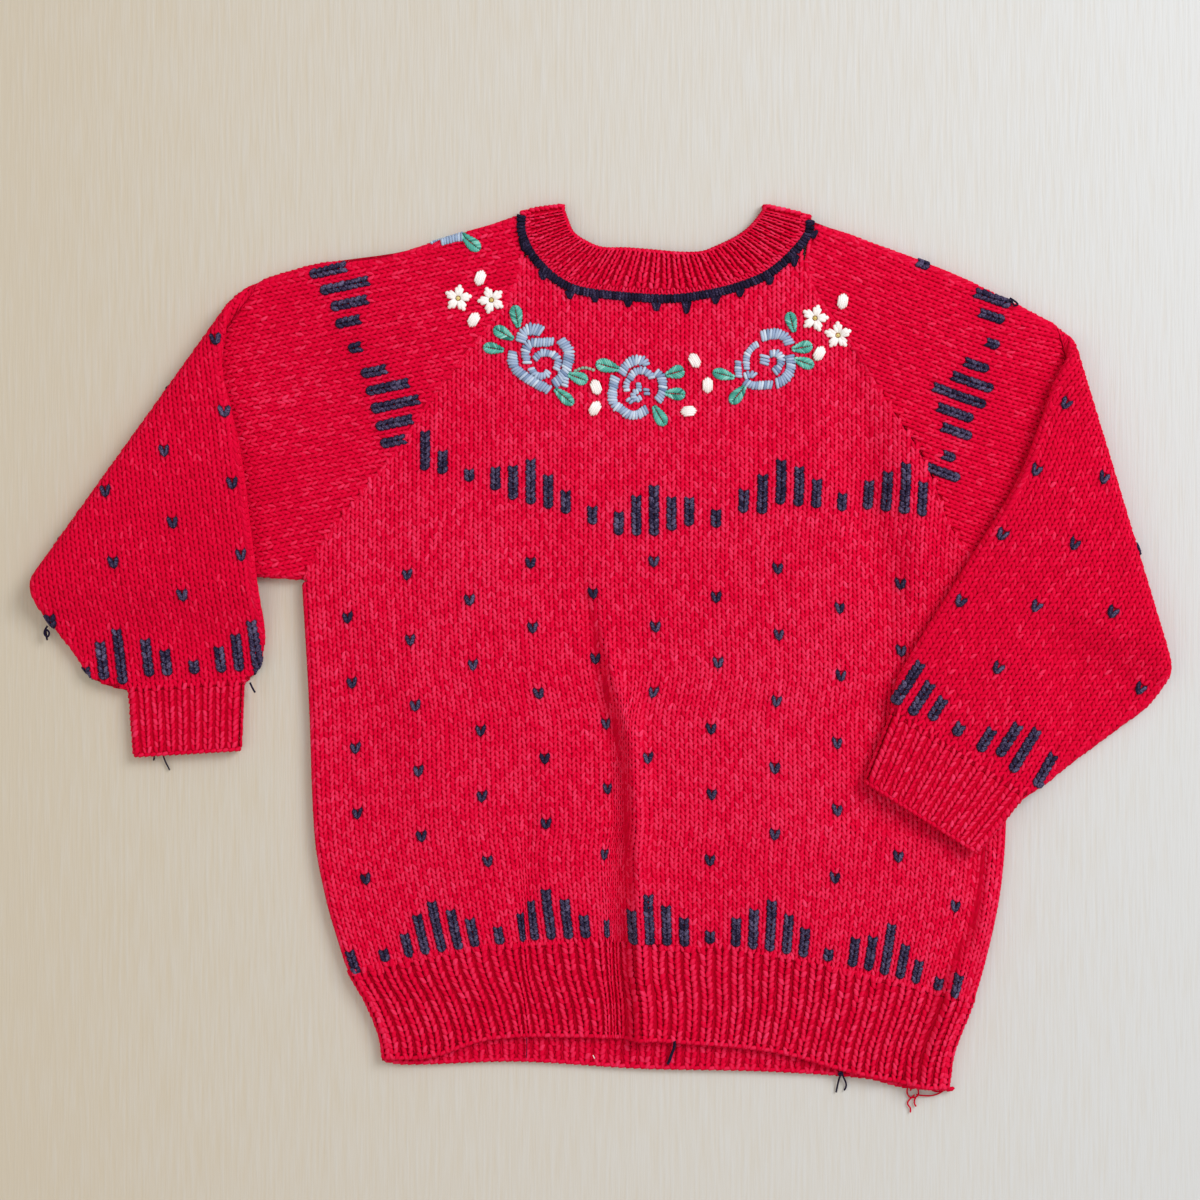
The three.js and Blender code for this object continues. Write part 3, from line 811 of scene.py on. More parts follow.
def sleeve_piece(name, sleeve):
    def across(past):
        return along_at(sleeve, sleeve.top, past), along_at(sleeve, sleeve.under, past)

    turn_length = math.pi * TURN_RADIUS
    seam_under, _ = sleeve.own_place(*sleeve.armhole.at(1.0))
    fold_top, fold_under = across(-1)
    over_top, over_under = across(turn_length + 1)
    end = sleeve.cuff_from
    places = [
        (mix(0, fold_top, t), mix(seam_under, fold_under, t), (1 - t) ** 2) for t in np.linspace(0, 1, 21)
    ]
    places += [(*across(past), 0) for past in np.linspace(0, turn_length, 11)]
    places += [(mix(over_top, end - 18, t), mix(over_under, end - 18, t), 0) for t in np.linspace(0, 1, 15)]
    places += [(end - short, end - short, 0) for short in (15, 12, 9, 7, 5, 3.5, 2, 1, SEAM_GAP)]
    lines = [
        line_across(sleeve, (top, float(sleeve.top(top))), (under, float(sleeve.under(under))), bend)
        for top, under, bend in places
    ]
    courses = [0.5 * (top + under) / SLEEVE_COURSE for top, under, _ in places]
    return tube(name, sleeve, lines, CLOTH_WALL, GROUND_FACE, 64, courses)


def cuff_piece(name, sleeve):
    lines = [
        line_across(
            sleeve, (along, sleeve.cuff_edge(along, sleeve.cuff_top)),
            (along, sleeve.cuff_edge(along, sleeve.cuff_under)),
        )
        for along in np.linspace(sleeve.cuff_from, sleeve.cuff_to, 13)
    ]
    return tube(name, sleeve, lines, RIB_WALL, RIB_GROUND_FACE, 20, range(len(lines)))


left = sleeve_piece("left_sleeve", left_sleeve)
left_cuff = cuff_piece("left_cuff", left_sleeve)
right = sleeve_piece("right_sleeve", right_sleeve)
right_cuff = cuff_piece("right_cuff", right_sleeve)


NECK_STEPS = 60
NECK_OVER = np.array([0.3, 0.6, 0.9, 1.2, QUARTER, 1.94, 2.24, 2.54, 2.84])  # turn over a shoulder
NECK_ACROSS = np.array([0.0, 0.06, 0.15, 0.3, 0.5, 0.7, 0.9, 1.0])
NECK_ROLL = 0.14  # share of the band's width, at its free edge, that rolls under


def neck_point(share, across, height):
    """On the front half of the neckband: share goes from the left shoulder to the right one, across
    from the free edge to the seam."""
    a = neck_opening.at(share)
    b = neck_seam.at(share)
    x = mix(a[..., 0], b[..., 0], across)
    y = mix(a[..., 1], b[..., 1] + SEAM_GAP, across)
    roll = np.clip(1 - across / NECK_ROLL, 0, 1.3)
    turn = np.clip(np.maximum(-share, share - 1) * neck_seam.length / FOLD_RADIUS, 0, math.pi)
    y = y + (FOLD_RADIUS + height) * np.sin(turn)
    z = MID_HEIGHT + (FOLD_RADIUS + height) * np.cos(turn) - 1.6 * roll**2
    return np.stack(np.broadcast_arrays(x, y, np.maximum(z, 0)), -1)


def neckband_piece():
    """The neckband goes once round: the front half, over a shoulder, the back half, and back."""
    over = len(NECK_OVER)
    there = np.linspace(0, 1, NECK_STEPS)
    share = np.concatenate([there, np.ones(over), there[::-1], np.zeros(over)])
    lean = np.concatenate([np.zeros(NECK_STEPS), NECK_OVER, np.full(NECK_STEPS, math.pi), NECK_OVER[::-1]])
    a = neck_opening.at(share)[:, None]
    b = neck_seam.at(share)[:, None]

    def surface(offset):
        reach = FOLD_RADIUS + offset
        x = mix(a[..., 0], b[..., 0], NECK_ACROSS)
        y = mix(a[..., 1], b[..., 1] + SEAM_GAP, NECK_ACROSS) + reach * np.sin(lean)[:, None]
        z = MID_HEIGHT + (reach * np.cos(lean))[:, None] + 0 * NECK_ACROSS
        roll = np.clip(1 - NECK_ACROSS / NECK_ROLL, 0, 1) ** 2 * 1.4 * np.cos(lean)[:, None]
        return np.stack([x, y, np.clip(z - roll, 0, None)], -1)

    outer, inner = surface(GROUND_FACE - 0.2), surface(-CLOTH_WALL / 2)
    counted = np.stack(np.broadcast_arrays(share[:, None] * 60, NECK_ACROSS * 8), -1)
    return wall_piece("neckband", outer, inner, False, True, counted)


neckband = neckband_piece()


# Stocking stitch on the body and sleeves, and the darned bars and hearts worked over single columns.
# Each darn is (wale, first course, courses).

def bars(peak, base, counts):
    """A group of bars two wales apart, tallest in the middle."""
    first = peak - 2 * (len(counts) // 2)
    return [(first + 2 * i, base, count) for i, count in enumerate(counts)]


def hearts(columns):
    """Hearts at the courses given for each wale."""
    return [(wale, course, 1) for wale, courses in columns.items() for course in courses]


HEM_BAND = [
    (0, -1, 4), (4, 0, 2), *bars(11, 0, [4, 7, 9, 7, 5]), (18, 0, 3), *bars(25, 0, [5, 7, 9, 7, 4]),
    (32, 0, 3), (37, -1, 6), (39, -2, 10), (41, -1, 7), (43, -1, 5), (46, 0, 2),
    *bars(53, 0, [5, 7, 9, 7, 5]), (60, 0, 2), *bars(67, 0, [5, 6, 9, 6, 4]), (74, 0, 2), (76, 0, 4),
]
YOKE_BAND = [
    (13, 88, 7), (15, 87, 4), (18, 85, 2), (21, 83, 4), (23, 81, 6), (25, 80, 8), (27, 79, 6),
    (29, 78, 4), (32, 76, 3), (35, 74, 4), (37, 74, 7), (39, 74, 9), (41, 75, 6), (43, 76, 5),
    (46, 76, 3), (49, 79, 4), (51, 79, 7), (53, 81, 8), (55, 81, 7), (57, 81, 5), (60, 81, 3),
    (63, 82, 5), (65, 82, 7), (67, 82, 9), (69, 82, 6),
]
HEART_COLUMNS = range(4, 75, 7)
HEART_ROWS = {0: (15, 27, 39, 51, 63), 1: (21, 33, 45, 57, 69)}
IN_THE_CREASE = (39, 21)  # a heart that the crease hides
BODY_HEARTS = [
    heart
    for i, wale in enumerate(HEART_COLUMNS)
    for heart in hearts({wale: HEART_ROWS[i % 2]})
    if heart[:2] != IN_THE_CREASE
]
# Along the sleeves courses are counted from the neck, so a darn's first course is its end towards it
LEFT_UPPER_BARS = [
    (-2, 31, 6), (0, 28, 8), (2, 29, 6), (4, 31, 4), (7, 32, 2), (10, 29, 4), (12, 26, 7), (14, 25, 8),
    (16, 27, 6), (18, 28, 5),
]
LEFT_CUFF_BARS = [
    (22, 103, 2), (19, 112, 3), (17, 108, 6), (15, 106, 9), (12, 108, 6), (10, 110, 4), (7, 112, 2),
    (4, 110, 4), (2, 108, 6), (0, 106, 9),
]
LEFT_HEARTS = hearts({0: (58, 70, 82, 94), 7: (64, 76, 88, 100), 14: (82, 94), 21: (64, 76, 88)})
RIGHT_UPPER_BARS = [
    (1, 19, 2), (2, 30, 6), (4, 32, 4), (7, 35, 2), (10, 33, 4), (12, 32, 7), (14, 30, 9), (16, 32, 6),
    (18, 34, 5), (21, 36, 2), (23, 34, 6),
]
RIGHT_CUFF_BARS = [
    (7, 109, 8), (9, 111, 6), (11, 112, 4), (14, 114, 2), (17, 112, 4), (19, 109, 6), (21, 108, 8),
    (24, 110, 6),
]
RIGHT_HEARTS = hearts({
    0: (66, 78, 90), 7: (59, 71, 83, 96), 14: (66, 78, 90, 102), 21: (72, 84), 28: (66, 78, 92),
})

SLEEVE_PAINTED_SHADE = -0.16  # painted shade: the sleeves are painted a little darker than the front
WRAP = 5.5  # stitches go this far round an edge of a flattened tube
UNDER_SLEEVE = 10  # stitches go this far under a sleeve that lies on them


def darned(darns):
    """Every stitch that the darns cover, as wale and course."""
    return {(wale, first + i) for wale, first, count in darns for i in range(count)}


def grid(wales, courses):
    """Every place on these wales and courses."""
    wale, course = np.meshgrid(np.array(wales, float), np.array(courses, float), indexing="ij")
    return wale.ravel(), course.ravel()


def knit_and_darn(name, wale, course, at, darns, up, dye_and_shade=0.0):
    """Red stitches, with the darned ones in pieces of their own."""
    places = list(zip(wale.astype(int), course.astype(int)))
    all_darned = darned(darns)
    single = darned(darn for darn in darns if darn[2] == 1)
    is_darn = np.array([place in all_darned for place in places])
    is_heart = np.array([place in single for place in places])
    made = []
    for label, chosen, finish, leg, shift in (
        ("stitches", ~is_darn, RED_KNIT, KNIT_LEG, dye_and_shade),
        ("bars", is_darn & ~is_heart, NAVY, DARN_LEG, 0.0),
        ("hearts", is_heart, NAVY, HEART_LEG, 0.0),
    ):
        if chosen.any():
            made += knit(f"{name}_{label}", wale[chosen], course[chosen], at, finish, leg, up, shift)
    return made


def front_stitches():
    wale, course = grid(range(-2, BODY_WALES + 2), range(-12, 142))
    x, y = body_place(wale, course)
    on_yoke = (x > raglan_left.x_at(y) + 0.6) & (x < raglan_right.x_at(y) - 0.6)
    on_body = (y < 31) | on_yoke
    clear = ~right_sleeve.covers(x, y, UNDER_SLEEVE)
    neck = np.where((x > -39) & (x < 102), neck_seam.y_at(x) - 1.5, 206)
    keep = on_body & clear & (y > front_rib_seam(x) - 1.0) & (y < neck)
    keep &= (x > left_side(y) - 4) & (x < right_side(y) + 4)
    darns = HEM_BAND + YOKE_BAND + BODY_HEARTS
    return knit_and_darn("front", wale[keep], course[keep], body_stitch, darns, 1)


def sleeve_stitches(name, sleeve, darns):
    place = SLEEVE_PLACES[sleeve.side]
    wale, course = grid(range(-10, 40), range(126))
    along, across = place(wale, course)
    x, y = sleeve.laid_out(along, across)
    past = sleeve.past(x, y)
    within = (across > sleeve.top(along) - WRAP) & (across < sleeve.under(along) + WRAP)
    beyond_seam = sleeve.side * (x - sleeve.armhole.x_at(y)) > 0.5
    upper = within & beyond_seam & (past < 1) & ~sleeve.covers(x, y, UNDER_SLEEVE) & (along > 2)
    # painted shade: the upper layer's stitches are painted a little darker than the front's
    made = knit_and_darn(
        f"{name}_upper", wale[upper], course[upper], sleeve_stitch(sleeve, 1), darns, -1, SLEEVE_PAINTED_SHADE,
    )
    lower = within & (past > -WRAP) & (along < sleeve.cuff_from - 1.8)
    # painted shade: the lower, folded layer is painted darker still
    made += knit_and_darn(
        f"{name}_lower", wale[lower], course[lower], sleeve_stitch(sleeve, -1), darns, -1, 1.5 * SLEEVE_PAINTED_SHADE,
    )
    return made + edge_stitches(name, sleeve)


def edge_stitches(name, sleeve):
    """The stitches that turn round the long edges, whichever wale they fall in."""
    made = []
    for side, edge, shift in (("top", sleeve.top, 1.2), ("under", sleeve.under, -1.2)):
        courses = np.arange(2.0, 116.0)
        along, first = SLEEVE_PLACES[sleeve.side](0, courses)
        wales = (edge(along) + shift - first) / (SLEEVE_PLACES[sleeve.side](1, courses)[1] - first)
        x, y = sleeve.laid_out(along, edge(along))
        past = sleeve.past(x, y)
        upper = (past < 0) & (sleeve.side * (x - sleeve.armhole.x_at(y)) > 0.5)
        lower = (past > 0) & (along < sleeve.cuff_from - 2)
        for layer, shown in ((1, upper), (-1, lower)):
            # painted shade: the edge stitches are painted as dark as the upper layer
            made += knit(
                f"{name}_{side}_edge_{'upper' if layer > 0 else 'lower'}", wales[shown], courses[shown],
                sleeve_stitch(sleeve, layer), RED_KNIT, EDGE_LEG, -1, SLEEVE_PAINTED_SHADE,
            )
    return made


front_knit = front_stitches()
left_knit = sleeve_stitches("left_sleeve", left_sleeve, LEFT_UPPER_BARS + LEFT_CUFF_BARS + LEFT_HEARTS)
right_knit = sleeve_stitches("right_sleeve", right_sleeve, RIGHT_UPPER_BARS + RIGHT_CUFF_BARS + RIGHT_HEARTS)


# One by one rib: columns of narrow stitches, with the bumps of the purl columns sunk between them

PURL_HALF = 0.2  # half length of a purl bump, in ribs
PURL_THICK = 0.5
CHAIN_HALF = 0.33  # half length of a link of the bound-off chain, in ribs
RIB_DYE_SPREAD = 0.15


def rib(name, ribs, courses, at, up=1):
    made = knit(f"{name}_knit_ribs", ribs, courses, at, RED_RIB, RIB_LEG, up)
    inner = ribs < ribs.max()
    ribs, courses = ribs[inner], courses[inner]
    along, aside, rise = LEG.points.T
    ribs = ribs[:, None] + 0.5 + PURL_HALF * (2 * along - 1)
    courses = courses[:, None] + 0.5 + 0.42 * aside + 0.15 * np.sin(along * math.pi)
    points = at(ribs, courses, rise * PURL_THICK - 0.5)
    # painted shade: the purl bumps sunk between the ribs are painted darker, with crests painted paler as
    # painted highlight
    shade = rise * 0.3 - 0.5 + rng.normal(0, RIB_DYE_SPREAD, (len(ribs), 1))
    return made + [strand_piece(f"{name}_purl_ribs", LEG, points, RED_RIB, shade)]


def bound_off(name, first, last, course, at):
    """The chain of the last row, lying along a free edge."""
    along, aside, rise = LEG.points.T
    start = np.arange(first, last, 0.5)[:, None]
    ribs = start + 2 * CHAIN_HALF * along - CHAIN_HALF
    courses = course + 0.42 * aside + 0.3 * (along - 0.5)
    points = at(ribs, courses, 0.4 + rise)
    # painted highlight: each link is painted paler on its crest and darker underneath
    shade = rise * 0.5 + rng.normal(0, RIB_DYE_SPREAD, (len(start), 1))
    return [strand_piece(f"{name}_bound_off_edge", LEG, points, RED_RIB, shade)]


FRONT_RIB_COURSES = 17
BACK_RIB_SHOWN = 9
CUFF_COURSES = {-1: 12, 1: 13}
CUFF_RIBS = {-1: 8.5, 1: 11.5}
NECK_RIBS = 32
NECK_COURSES = 9
NECK_WALES = 54
NECK_PLAIN = 2  # courses of stocking stitch between the ribs and the seam


def front_hem_stitch(column, course, height):
    u = (column + 0.5) / HEM_RIBS
    share = course / FRONT_RIB_COURSES
    guess = body_across(u, -180.0)
    y = mix(front_hem(guess), front_rib_seam(guess) + 1.4, share)
    droop = 2.0 * np.maximum(0, (u - 0.5) / 0.5) ** 2 * (1 - share)
    x = body_across(u, y - droop)
    return front_point(x, y, height)


def back_hem_stitch(column, course, height):
    """The back rib, seen from inside below the front one."""
    u = 0.5 + 1.015 * ((column + 0.5) / BACK_HEM_RIBS - 0.5)
    guess = x_at(HEM_Y, u)
    y = back_hem(guess) + course * 2.7
    x = x_at(y, u)
    return np.stack(np.broadcast_arrays(x, y, 2.2 + 0.6 * height), -1)


def cuff_stitch(sleeve):
    def at(column, course, height):
        share = course / CUFF_COURSES[sleeve.side]
        along = mix(sleeve.cuff_from - 1.2, sleeve.cuff_to, share)
        top = sleeve.cuff_edge(along, sleeve.cuff_top)
        low = sleeve.cuff_edge(along, sleeve.cuff_under)
        across = mix(top, low, (column + 0.5) / CUFF_RIBS[sleeve.side])
        return sleeve.point(along, across, height, -1)

    return at


def cuff_ribs(name, sleeve):
    """The ribs of a cuff, those at its edges turning under."""
    courses = CUFF_COURSES[sleeve.side]
    ribs = math.ceil(CUFF_RIBS[sleeve.side]) + 1
    at = cuff_stitch(sleeve)
    made = rib(name, *grid(range(-1, ribs), range(courses)), at, -1)
    return made + bound_off(name, -1, ribs, courses - 0.1, at)


def neck_stitch(column, course, height):
    """The ribs are drawn closer together towards the shoulders."""
    share = (column + 0.5) / NECK_RIBS
    share = share - 0.04 * np.sin(2 * math.pi * np.clip(share, 0, 1))
    return neck_point(share, course / NECK_COURSES, height)


def neck_plain_stitch(wale, course, height):
    return neck_point((wale + 0.5) / NECK_WALES, course / NECK_COURSES, height)


front_rib_knit = rib("front_hem", *grid(range(-1, HEM_RIBS), range(FRONT_RIB_COURSES)), front_hem_stitch)
front_rib_knit += knit(
    "front_hem_edge_ribs", *grid([-0.62, HEM_RIBS - 0.4], range(FRONT_RIB_COURSES)), front_hem_stitch,
    RED_RIB, RIB_LEG,
)
front_rib_knit += bound_off("front_hem", -1, HEM_RIBS + 0.5, 0.1, front_hem_stitch)
back_rib_knit = rib("back_hem", *grid(range(BACK_HEM_RIBS), range(BACK_RIB_SHOWN)), back_hem_stitch)
back_rib_knit += bound_off("back_hem", 0, BACK_HEM_RIBS, 0.1, back_hem_stitch)
left_cuff_knit = cuff_ribs("left_cuff", left_sleeve)
right_cuff_knit = cuff_ribs("right_cuff", right_sleeve)
rib_top = NECK_COURSES - NECK_PLAIN + 1
neck_knit = rib("neckband", *grid(range(-1, NECK_RIBS + 1), range(1, rib_top)), neck_stitch, -1)
neck_knit += bound_off("neckband", -1, NECK_RIBS + 1, 0.4, neck_stitch)
neck_knit += knit(
    "neckband_plain_courses", *grid(range(-2, NECK_WALES + 2), range(rib_top, NECK_COURSES + 1)),
    neck_plain_stitch, RED_RIB, KNIT_LEG, -1,
)


# Embroidery, seams and loose yarn

CREST = 1.15  # crests of the stitches, above the middle of the wall


def on_front(x, y, height):
    return front_point(x, y, CREST + height)


def on_sleeve(sleeve):
    return lambda x, y, height: sleeve.point(*sleeve.own_place(x, y), CREST + height, 1)


on_left_shoulder = on_sleeve(left_sleeve)
on_right_shoulder = on_sleeve(right_sleeve)


def on_panels(x, y, height):
    """On whichever panel lies here above the armholes."""
    past_left_seam = (x < raglan_left.x_at(y))[..., None]
    past_right_seam = (x > raglan_right.x_at(y))[..., None]
    points = np.where(past_left_seam, on_left_shoulder(x, y, height), on_front(x, y, height))
    return np.where(past_right_seam, on_right_shoulder(x, y, height), points)


def strands(starts, ends, half_width, thick, on, arch=0.25, sunk=0.1):
    """Points of strands laid straight over the cloth from each start to each end."""
    along, aside, rise = LONG_STRAND.points.T
    starts, ends = np.asarray(starts, float), np.asarray(ends, float)
    run = ends - starts
    length = np.maximum(np.hypot(run[:, 0], run[:, 1]), 1e-6)[:, None]
    nx, ny = -run[:, 1:] / length, run[:, :1] / length
    x = starts[:, :1] + run[:, :1] * along + nx * aside * half_width
    y = starts[:, 1:] + run[:, 1:] * along + ny * aside * half_width
    return on(x, y, rise * thick + arch * np.sin(math.pi * along) - sunk)


def strands_piece(name, points, finish, spread=0.35, dye_and_shade=0.0):
    """One piece from such strands. Their shades differ by about spread from one to the next."""
    # painted highlight: each strand is painted paler on its crest and darker underneath as painted shade;
    # the random part is the dye's own spread
    shade = LONG_STRAND.points[:, 2] * 0.55 + rng.normal(dye_and_shade, spread, (len(points), 1))
    strand_piece(name, LONG_STRAND, points, finish, shade)


SATIN_PITCH = 1.35  # from one thread of satin stitch to the next
SATIN_SLANT = 0.12  # how far a thread leans along the band, in widths of the band


def satin(path, width, top):
    """Threads laid side by side across a band that follows the path."""
    line = Line(path)
    count = max(int(line.length / SATIN_PITCH), 2)
    share = (np.arange(count) + 0.5) / count
    middle = line.at(share)
    across = line.across(share)
    ahead = np.stack([across[:, 1], -across[:, 0]], -1) * SATIN_SLANT * width
    half = width * 0.56 * (1.0 + rng.normal(0, 0.07, (count, 1)))
    nudge = rng.normal(0, 0.12, (count, 2))
    return strands(middle - across * half - ahead + nudge, middle + across * half + ahead, 0.9, 1.0, top)


ROSES = {
    "left_rose": [
        (5.7, [(-40.3, 151), (-39.2, 155.7), (-35, 157.8), (-29.7, 156.3)]),
        (4.3, [(-37.1, 140.5), (-38.1, 146.8), (-35.5, 150.5), (-30.3, 151), (-24, 151.5)]),
        (5.2, [(-20.9, 152.4), (-16.5, 146.8), (-17.1, 140.5), (-19.2, 135.2), (-24, 130)]),
        (4.9, [(-44.5, 146.8), (-44, 139.3), (-39.8, 135.2), (-33.5, 131), (-26, 127.3)]),
        (3.6, [(-35.5, 138.3), (-32.8, 134.6), (-28.2, 134.6), (-26.5, 136.8)]),
        (3.6, [(-33.5, 142.5), (-30.3, 145.7), (-25, 145.2), (-21.8, 142.5), (-22.9, 137.3)]),
        (3.6, [(-18.2, 134), (-18.7, 128.8)]),
    ],
    "middle_rose": [
        (4.8, [(9.6, 135.2), (12, 139.6), (16, 142.2), (20.3, 141.8), (22.4, 139.6)]),
        (3.6, [(13.9, 132.6), (15.6, 135.8), (19.6, 137.2), (23.4, 135.4), (25, 133)]),
        (3.0, [(13.2, 132.6), (12, 129.9), (12.6, 126.6)]),
        (4.4, [(26.4, 136.2), (29.2, 134.4), (30.2, 130.4), (29.9, 126), (27.6, 121.8)]),
        (4.5, [(6.7, 134), (5.6, 129.4), (5.1, 123.9), (6, 120.1), (9.3, 118.1), (13.4, 115.1),
               (17.8, 115.1), (22.4, 118.1)]),
        (2.8, [(18, 131), (18.3, 127.2), (15.6, 125.8), (16.7, 122.3), (19.4, 123.9)]),
        (3.3, [(21.9, 128.3), (22.4, 124.7)]),
        (2.8, [(12.3, 123.1), (15.3, 120.9)]),
    ],
    "right_rose": [
        (5.2, [(79.1, 153.8), (82.6, 155.1), (87.1, 155.2), (91, 153.8), (93.4, 150)]),
        (3.2, [(77.4, 150.5), (74.4, 148.1), (72.1, 144.8), (71.7, 140.8), (72, 137.5)]),
        (3.3, [(67.5, 141.8), (67.7, 137.8), (68, 133.6)]),
        (3.7, [(70.7, 133.9), (73.8, 135.4), (76.2, 134.2)]),
        (4.3, [(70.7, 131.5), (74.7, 129.7), (78.6, 129.7), (82.3, 129.9), (84.7, 129.9)]),
        (4.9, [(86.5, 130.5), (90.5, 132.6), (93.4, 136.6), (94, 140.8), (92.9, 144.5)]),
        (4.6, [(81, 144.9), (80.7, 139.7)]),
        (3.8, [(83.4, 145.1), (86.8, 145.7), (89.2, 142.9), (88, 139), (85.6, 136)]),
    ],
}
SHOULDER_ROSE = [
    (5.0, [(-86, 201.5), (-81, 205), (-75, 206)]),
    (4.0, [(-80, 201), (-75, 202.5), (-69, 203.5)]),
]
# Leaves: middle, direction of the tip in degrees, length, width
LEAVES = [
    (-42.5, 164, 100, 12, 6), (-49, 155.5, 150, 12, 6), (-54, 148, 170, 11, 5.5),
    (-12, 133.5, -20, 11, 6), (-18.8, 124, -40, 13, 5.5),
    (2.8, 139.2, 165, 13, 6.5), (36.2, 136, 15, 10, 6.5), (36.2, 125.5, -5, 11, 6),
    (28.5, 114.5, -60, 12, 6),
    (94.2, 161.2, 105, 11, 5.5), (99.5, 148.5, 10, 11, 6), (100.5, 141, -20, 11, 5.5),
    (60.3, 135, 165, 12, 5.5), (67.5, 125, -130, 12, 6),
]
SHOULDER_LEAF = (-65, 200.5, -40, 12, 6)
# Knots: middle, direction of the long side in degrees
KNOTS = [
    (-60.5, 183, 70), (-63.7, 162.2, 60), (-3, 128.8, 110), (-3.5, 118.2, 60), (46, 142, 120),
    (52.5, 129.7, 90), (43, 116.8, 5), (119.5, 171.3, 80), (108, 145.5, 60),
]
STARS = [(-71.5, 172.8, 10), (-55, 172, 40), (105.8, 163, 75), (117.2, 154.5, 20)]


def turned(middle, degrees, along, aside):
    """A point along and aside of a direction from the middle."""
    angle = math.radians(degrees)
    x = middle[0] + along * math.cos(angle) - aside * math.sin(angle)
    y = middle[1] + along * math.sin(angle) + aside * math.cos(angle)
    return np.stack(np.broadcast_arrays(x, y), -1)


LEAF_PITCH = 1.1  # from one thread of a leaf to the next
LEAF_SHARE = 0.92  # share of a leaf's length where its threads start


def leaf(x, y, degrees, length, width, top):
    """Fishbone stitch: threads slant from each edge down to a vein."""
    points = []
    length = length * LEAF_SHARE
    count = int(length / LEAF_PITCH)
    share = (np.arange(count) + 0.5) / count
    half = width * 0.54 * np.sin(math.pi * (share * 0.92 + 0.06)) ** 0.8
    for side in (-1, 1):
        foot = turned((x, y), degrees, (share - 0.5) * length - 0.8, side * 0.15)
        tip = turned((x, y), degrees, (share - 0.5) * length + half * 0.7, side * half)
        points.append(strands(foot, tip, 0.68, 0.85, top))
    return np.concatenate(points)


def knot(x, y, degrees, top):
    """An oval knot: threads lie round a slit."""
    aside = np.array([-2.4, -1.5, -0.65, 0.65, 1.5, 2.4])
    half = 4.5 * np.sqrt(1 - (aside / 3.2) ** 2)
    pull = -np.sign(aside) * 0.45
    starts = turned((x, y), degrees, -half, aside + pull)
    ends = turned((x, y), degrees, half, aside + pull)
    return strands(starts, ends, 0.62, 1.0, top, arch=1.2)


def star(x, y, degrees, top):
    """Five petals, each of three straight stitches from the middle."""
    starts = []
    ends = []
    for petal in range(5):
        for spread, reach in ((-15, 5.8), (0, 7.2), (15, 5.8)):
            direction = degrees + 72 * petal + spread
            starts.append(turned((x, y), direction, 1.0, 0))
            ends.append(turned((x, y), direction, reach, 0))
    return strands(starts, ends, 1.15, 0.9, top, arch=0.6)


def star_knot(x, y, top):
    """A small knot of three short threads over the middle of a star."""
    starts, ends = ([turned((x, y), a, reach, 0) for a in (0, 60, 120)] for reach in (-1.1, 1.1))
    return strands(starts, ends, 0.6, 0.7, top, arch=1.0)


def satin_bands(name, bands, top):
    strands_piece(name, np.concatenate([satin(path, width, top) for width, path in bands]), BLUE)


for rose, rose_bands in ROSES.items():
    satin_bands(rose, rose_bands, on_front)
satin_bands("shoulder_rose", SHOULDER_ROSE, on_left_shoulder)
strands_piece("leaves", np.concatenate([leaf(*place, on_front) for place in LEAVES]), GREEN)
strands_piece("shoulder_leaf", leaf(*SHOULDER_LEAF, on_left_shoulder), GREEN)


SEAM_PITCH = 2.4  # from one overcast stitch to the next
SEAM_REACH = 1.9  # half its length


def raglan_seams():
    """Overcast stitches that draw the armhole seams together, sunk between the stitches beside them."""
    points = []
    for seam in (raglan_left, raglan_right):
        count = int(seam.length / SEAM_PITCH)
        share = (np.arange(count) + 0.5) / count
        middle = seam.at(share)
        ahead = seam.across(share)[:, ::-1] * (1, -1)
        keep = ~right_sleeve.covers(middle[:, 0], middle[:, 1], UNDER_SLEEVE)
        middle, ahead = middle[keep], ahead[keep]
        reach = ahead * SEAM_REACH
        points.append(strands(middle - reach, middle + reach, 1.15, 0.9, on_panels, sunk=1.2))
    strands_piece("raglan_seams", np.concatenate(points), RED_KNIT, 0.15)


raglan_seams()
strands_piece("knots", np.concatenate([knot(*place, on_panels) for place in KNOTS]), IVORY, 0.2)
strands_piece("stars", np.concatenate([star(*place, on_panels) for place in STARS]), IVORY, 0.2)
strands_piece("star_centres", np.concatenate([star_knot(x, y, on_panels) for x, y, _ in STARS]), YELLOW)
stem = Line([(-14, 136.5), (-9, 138.5), (-3.5, 137)]).at(np.linspace(0, 1, 7))
strands_piece("rose_stem", strands(stem[:-1], stem[1:], 0.8, 0.8, on_front), STEM_GREEN)


# The navy line round the neck: chain stitch over the seam, with a point hanging from it here and there

NECK_POINTS = [
    (-39, 198), (-29.2, 184), (-16, 174.5), (-3.5, 172.8), (13, 170.5), (27, 168.5), (42, 167),
    (56.5, 172), (68.5, 175.5), (83.2, 181.5), (95.5, 190.5), (105, 204.5),
]


NECK_PITCH = 1.6  # from one link of the chain to the next


def neck_line():
    count = int(neck_seam.length / NECK_PITCH)
    share = (np.arange(count) + 0.5) / count
    middle = neck_seam.at(share)
    outward = -neck_seam.across(share)
    outward = outward * np.sign(-outward[count // 2, 1])
    ahead = np.stack([outward[:, 1], -outward[:, 0]], -1)
    lean = rng.normal(0.25, 0.25, (count, 1))
    inner = middle - outward * 1.5 + ahead * lean
    points = [strands(inner, middle + outward * 3.4 - ahead * lean, 1.0, 1.25, on_panels)]
    for x, y in NECK_POINTS:
        reach = float(np.clip(neck_seam.y_at(x) - y - 0.5, 4.5, 7.5))
        for side in (-1, 0, 1):
            foot = np.array([(x, y - 2.0)])
            points.append(strands(foot, foot + (side * 2.0, reach), 1.0, 1.0, on_panels))
    strands_piece("neck_line", np.concatenate(points), NAVY, 0.2, -0.3)


neck_line()


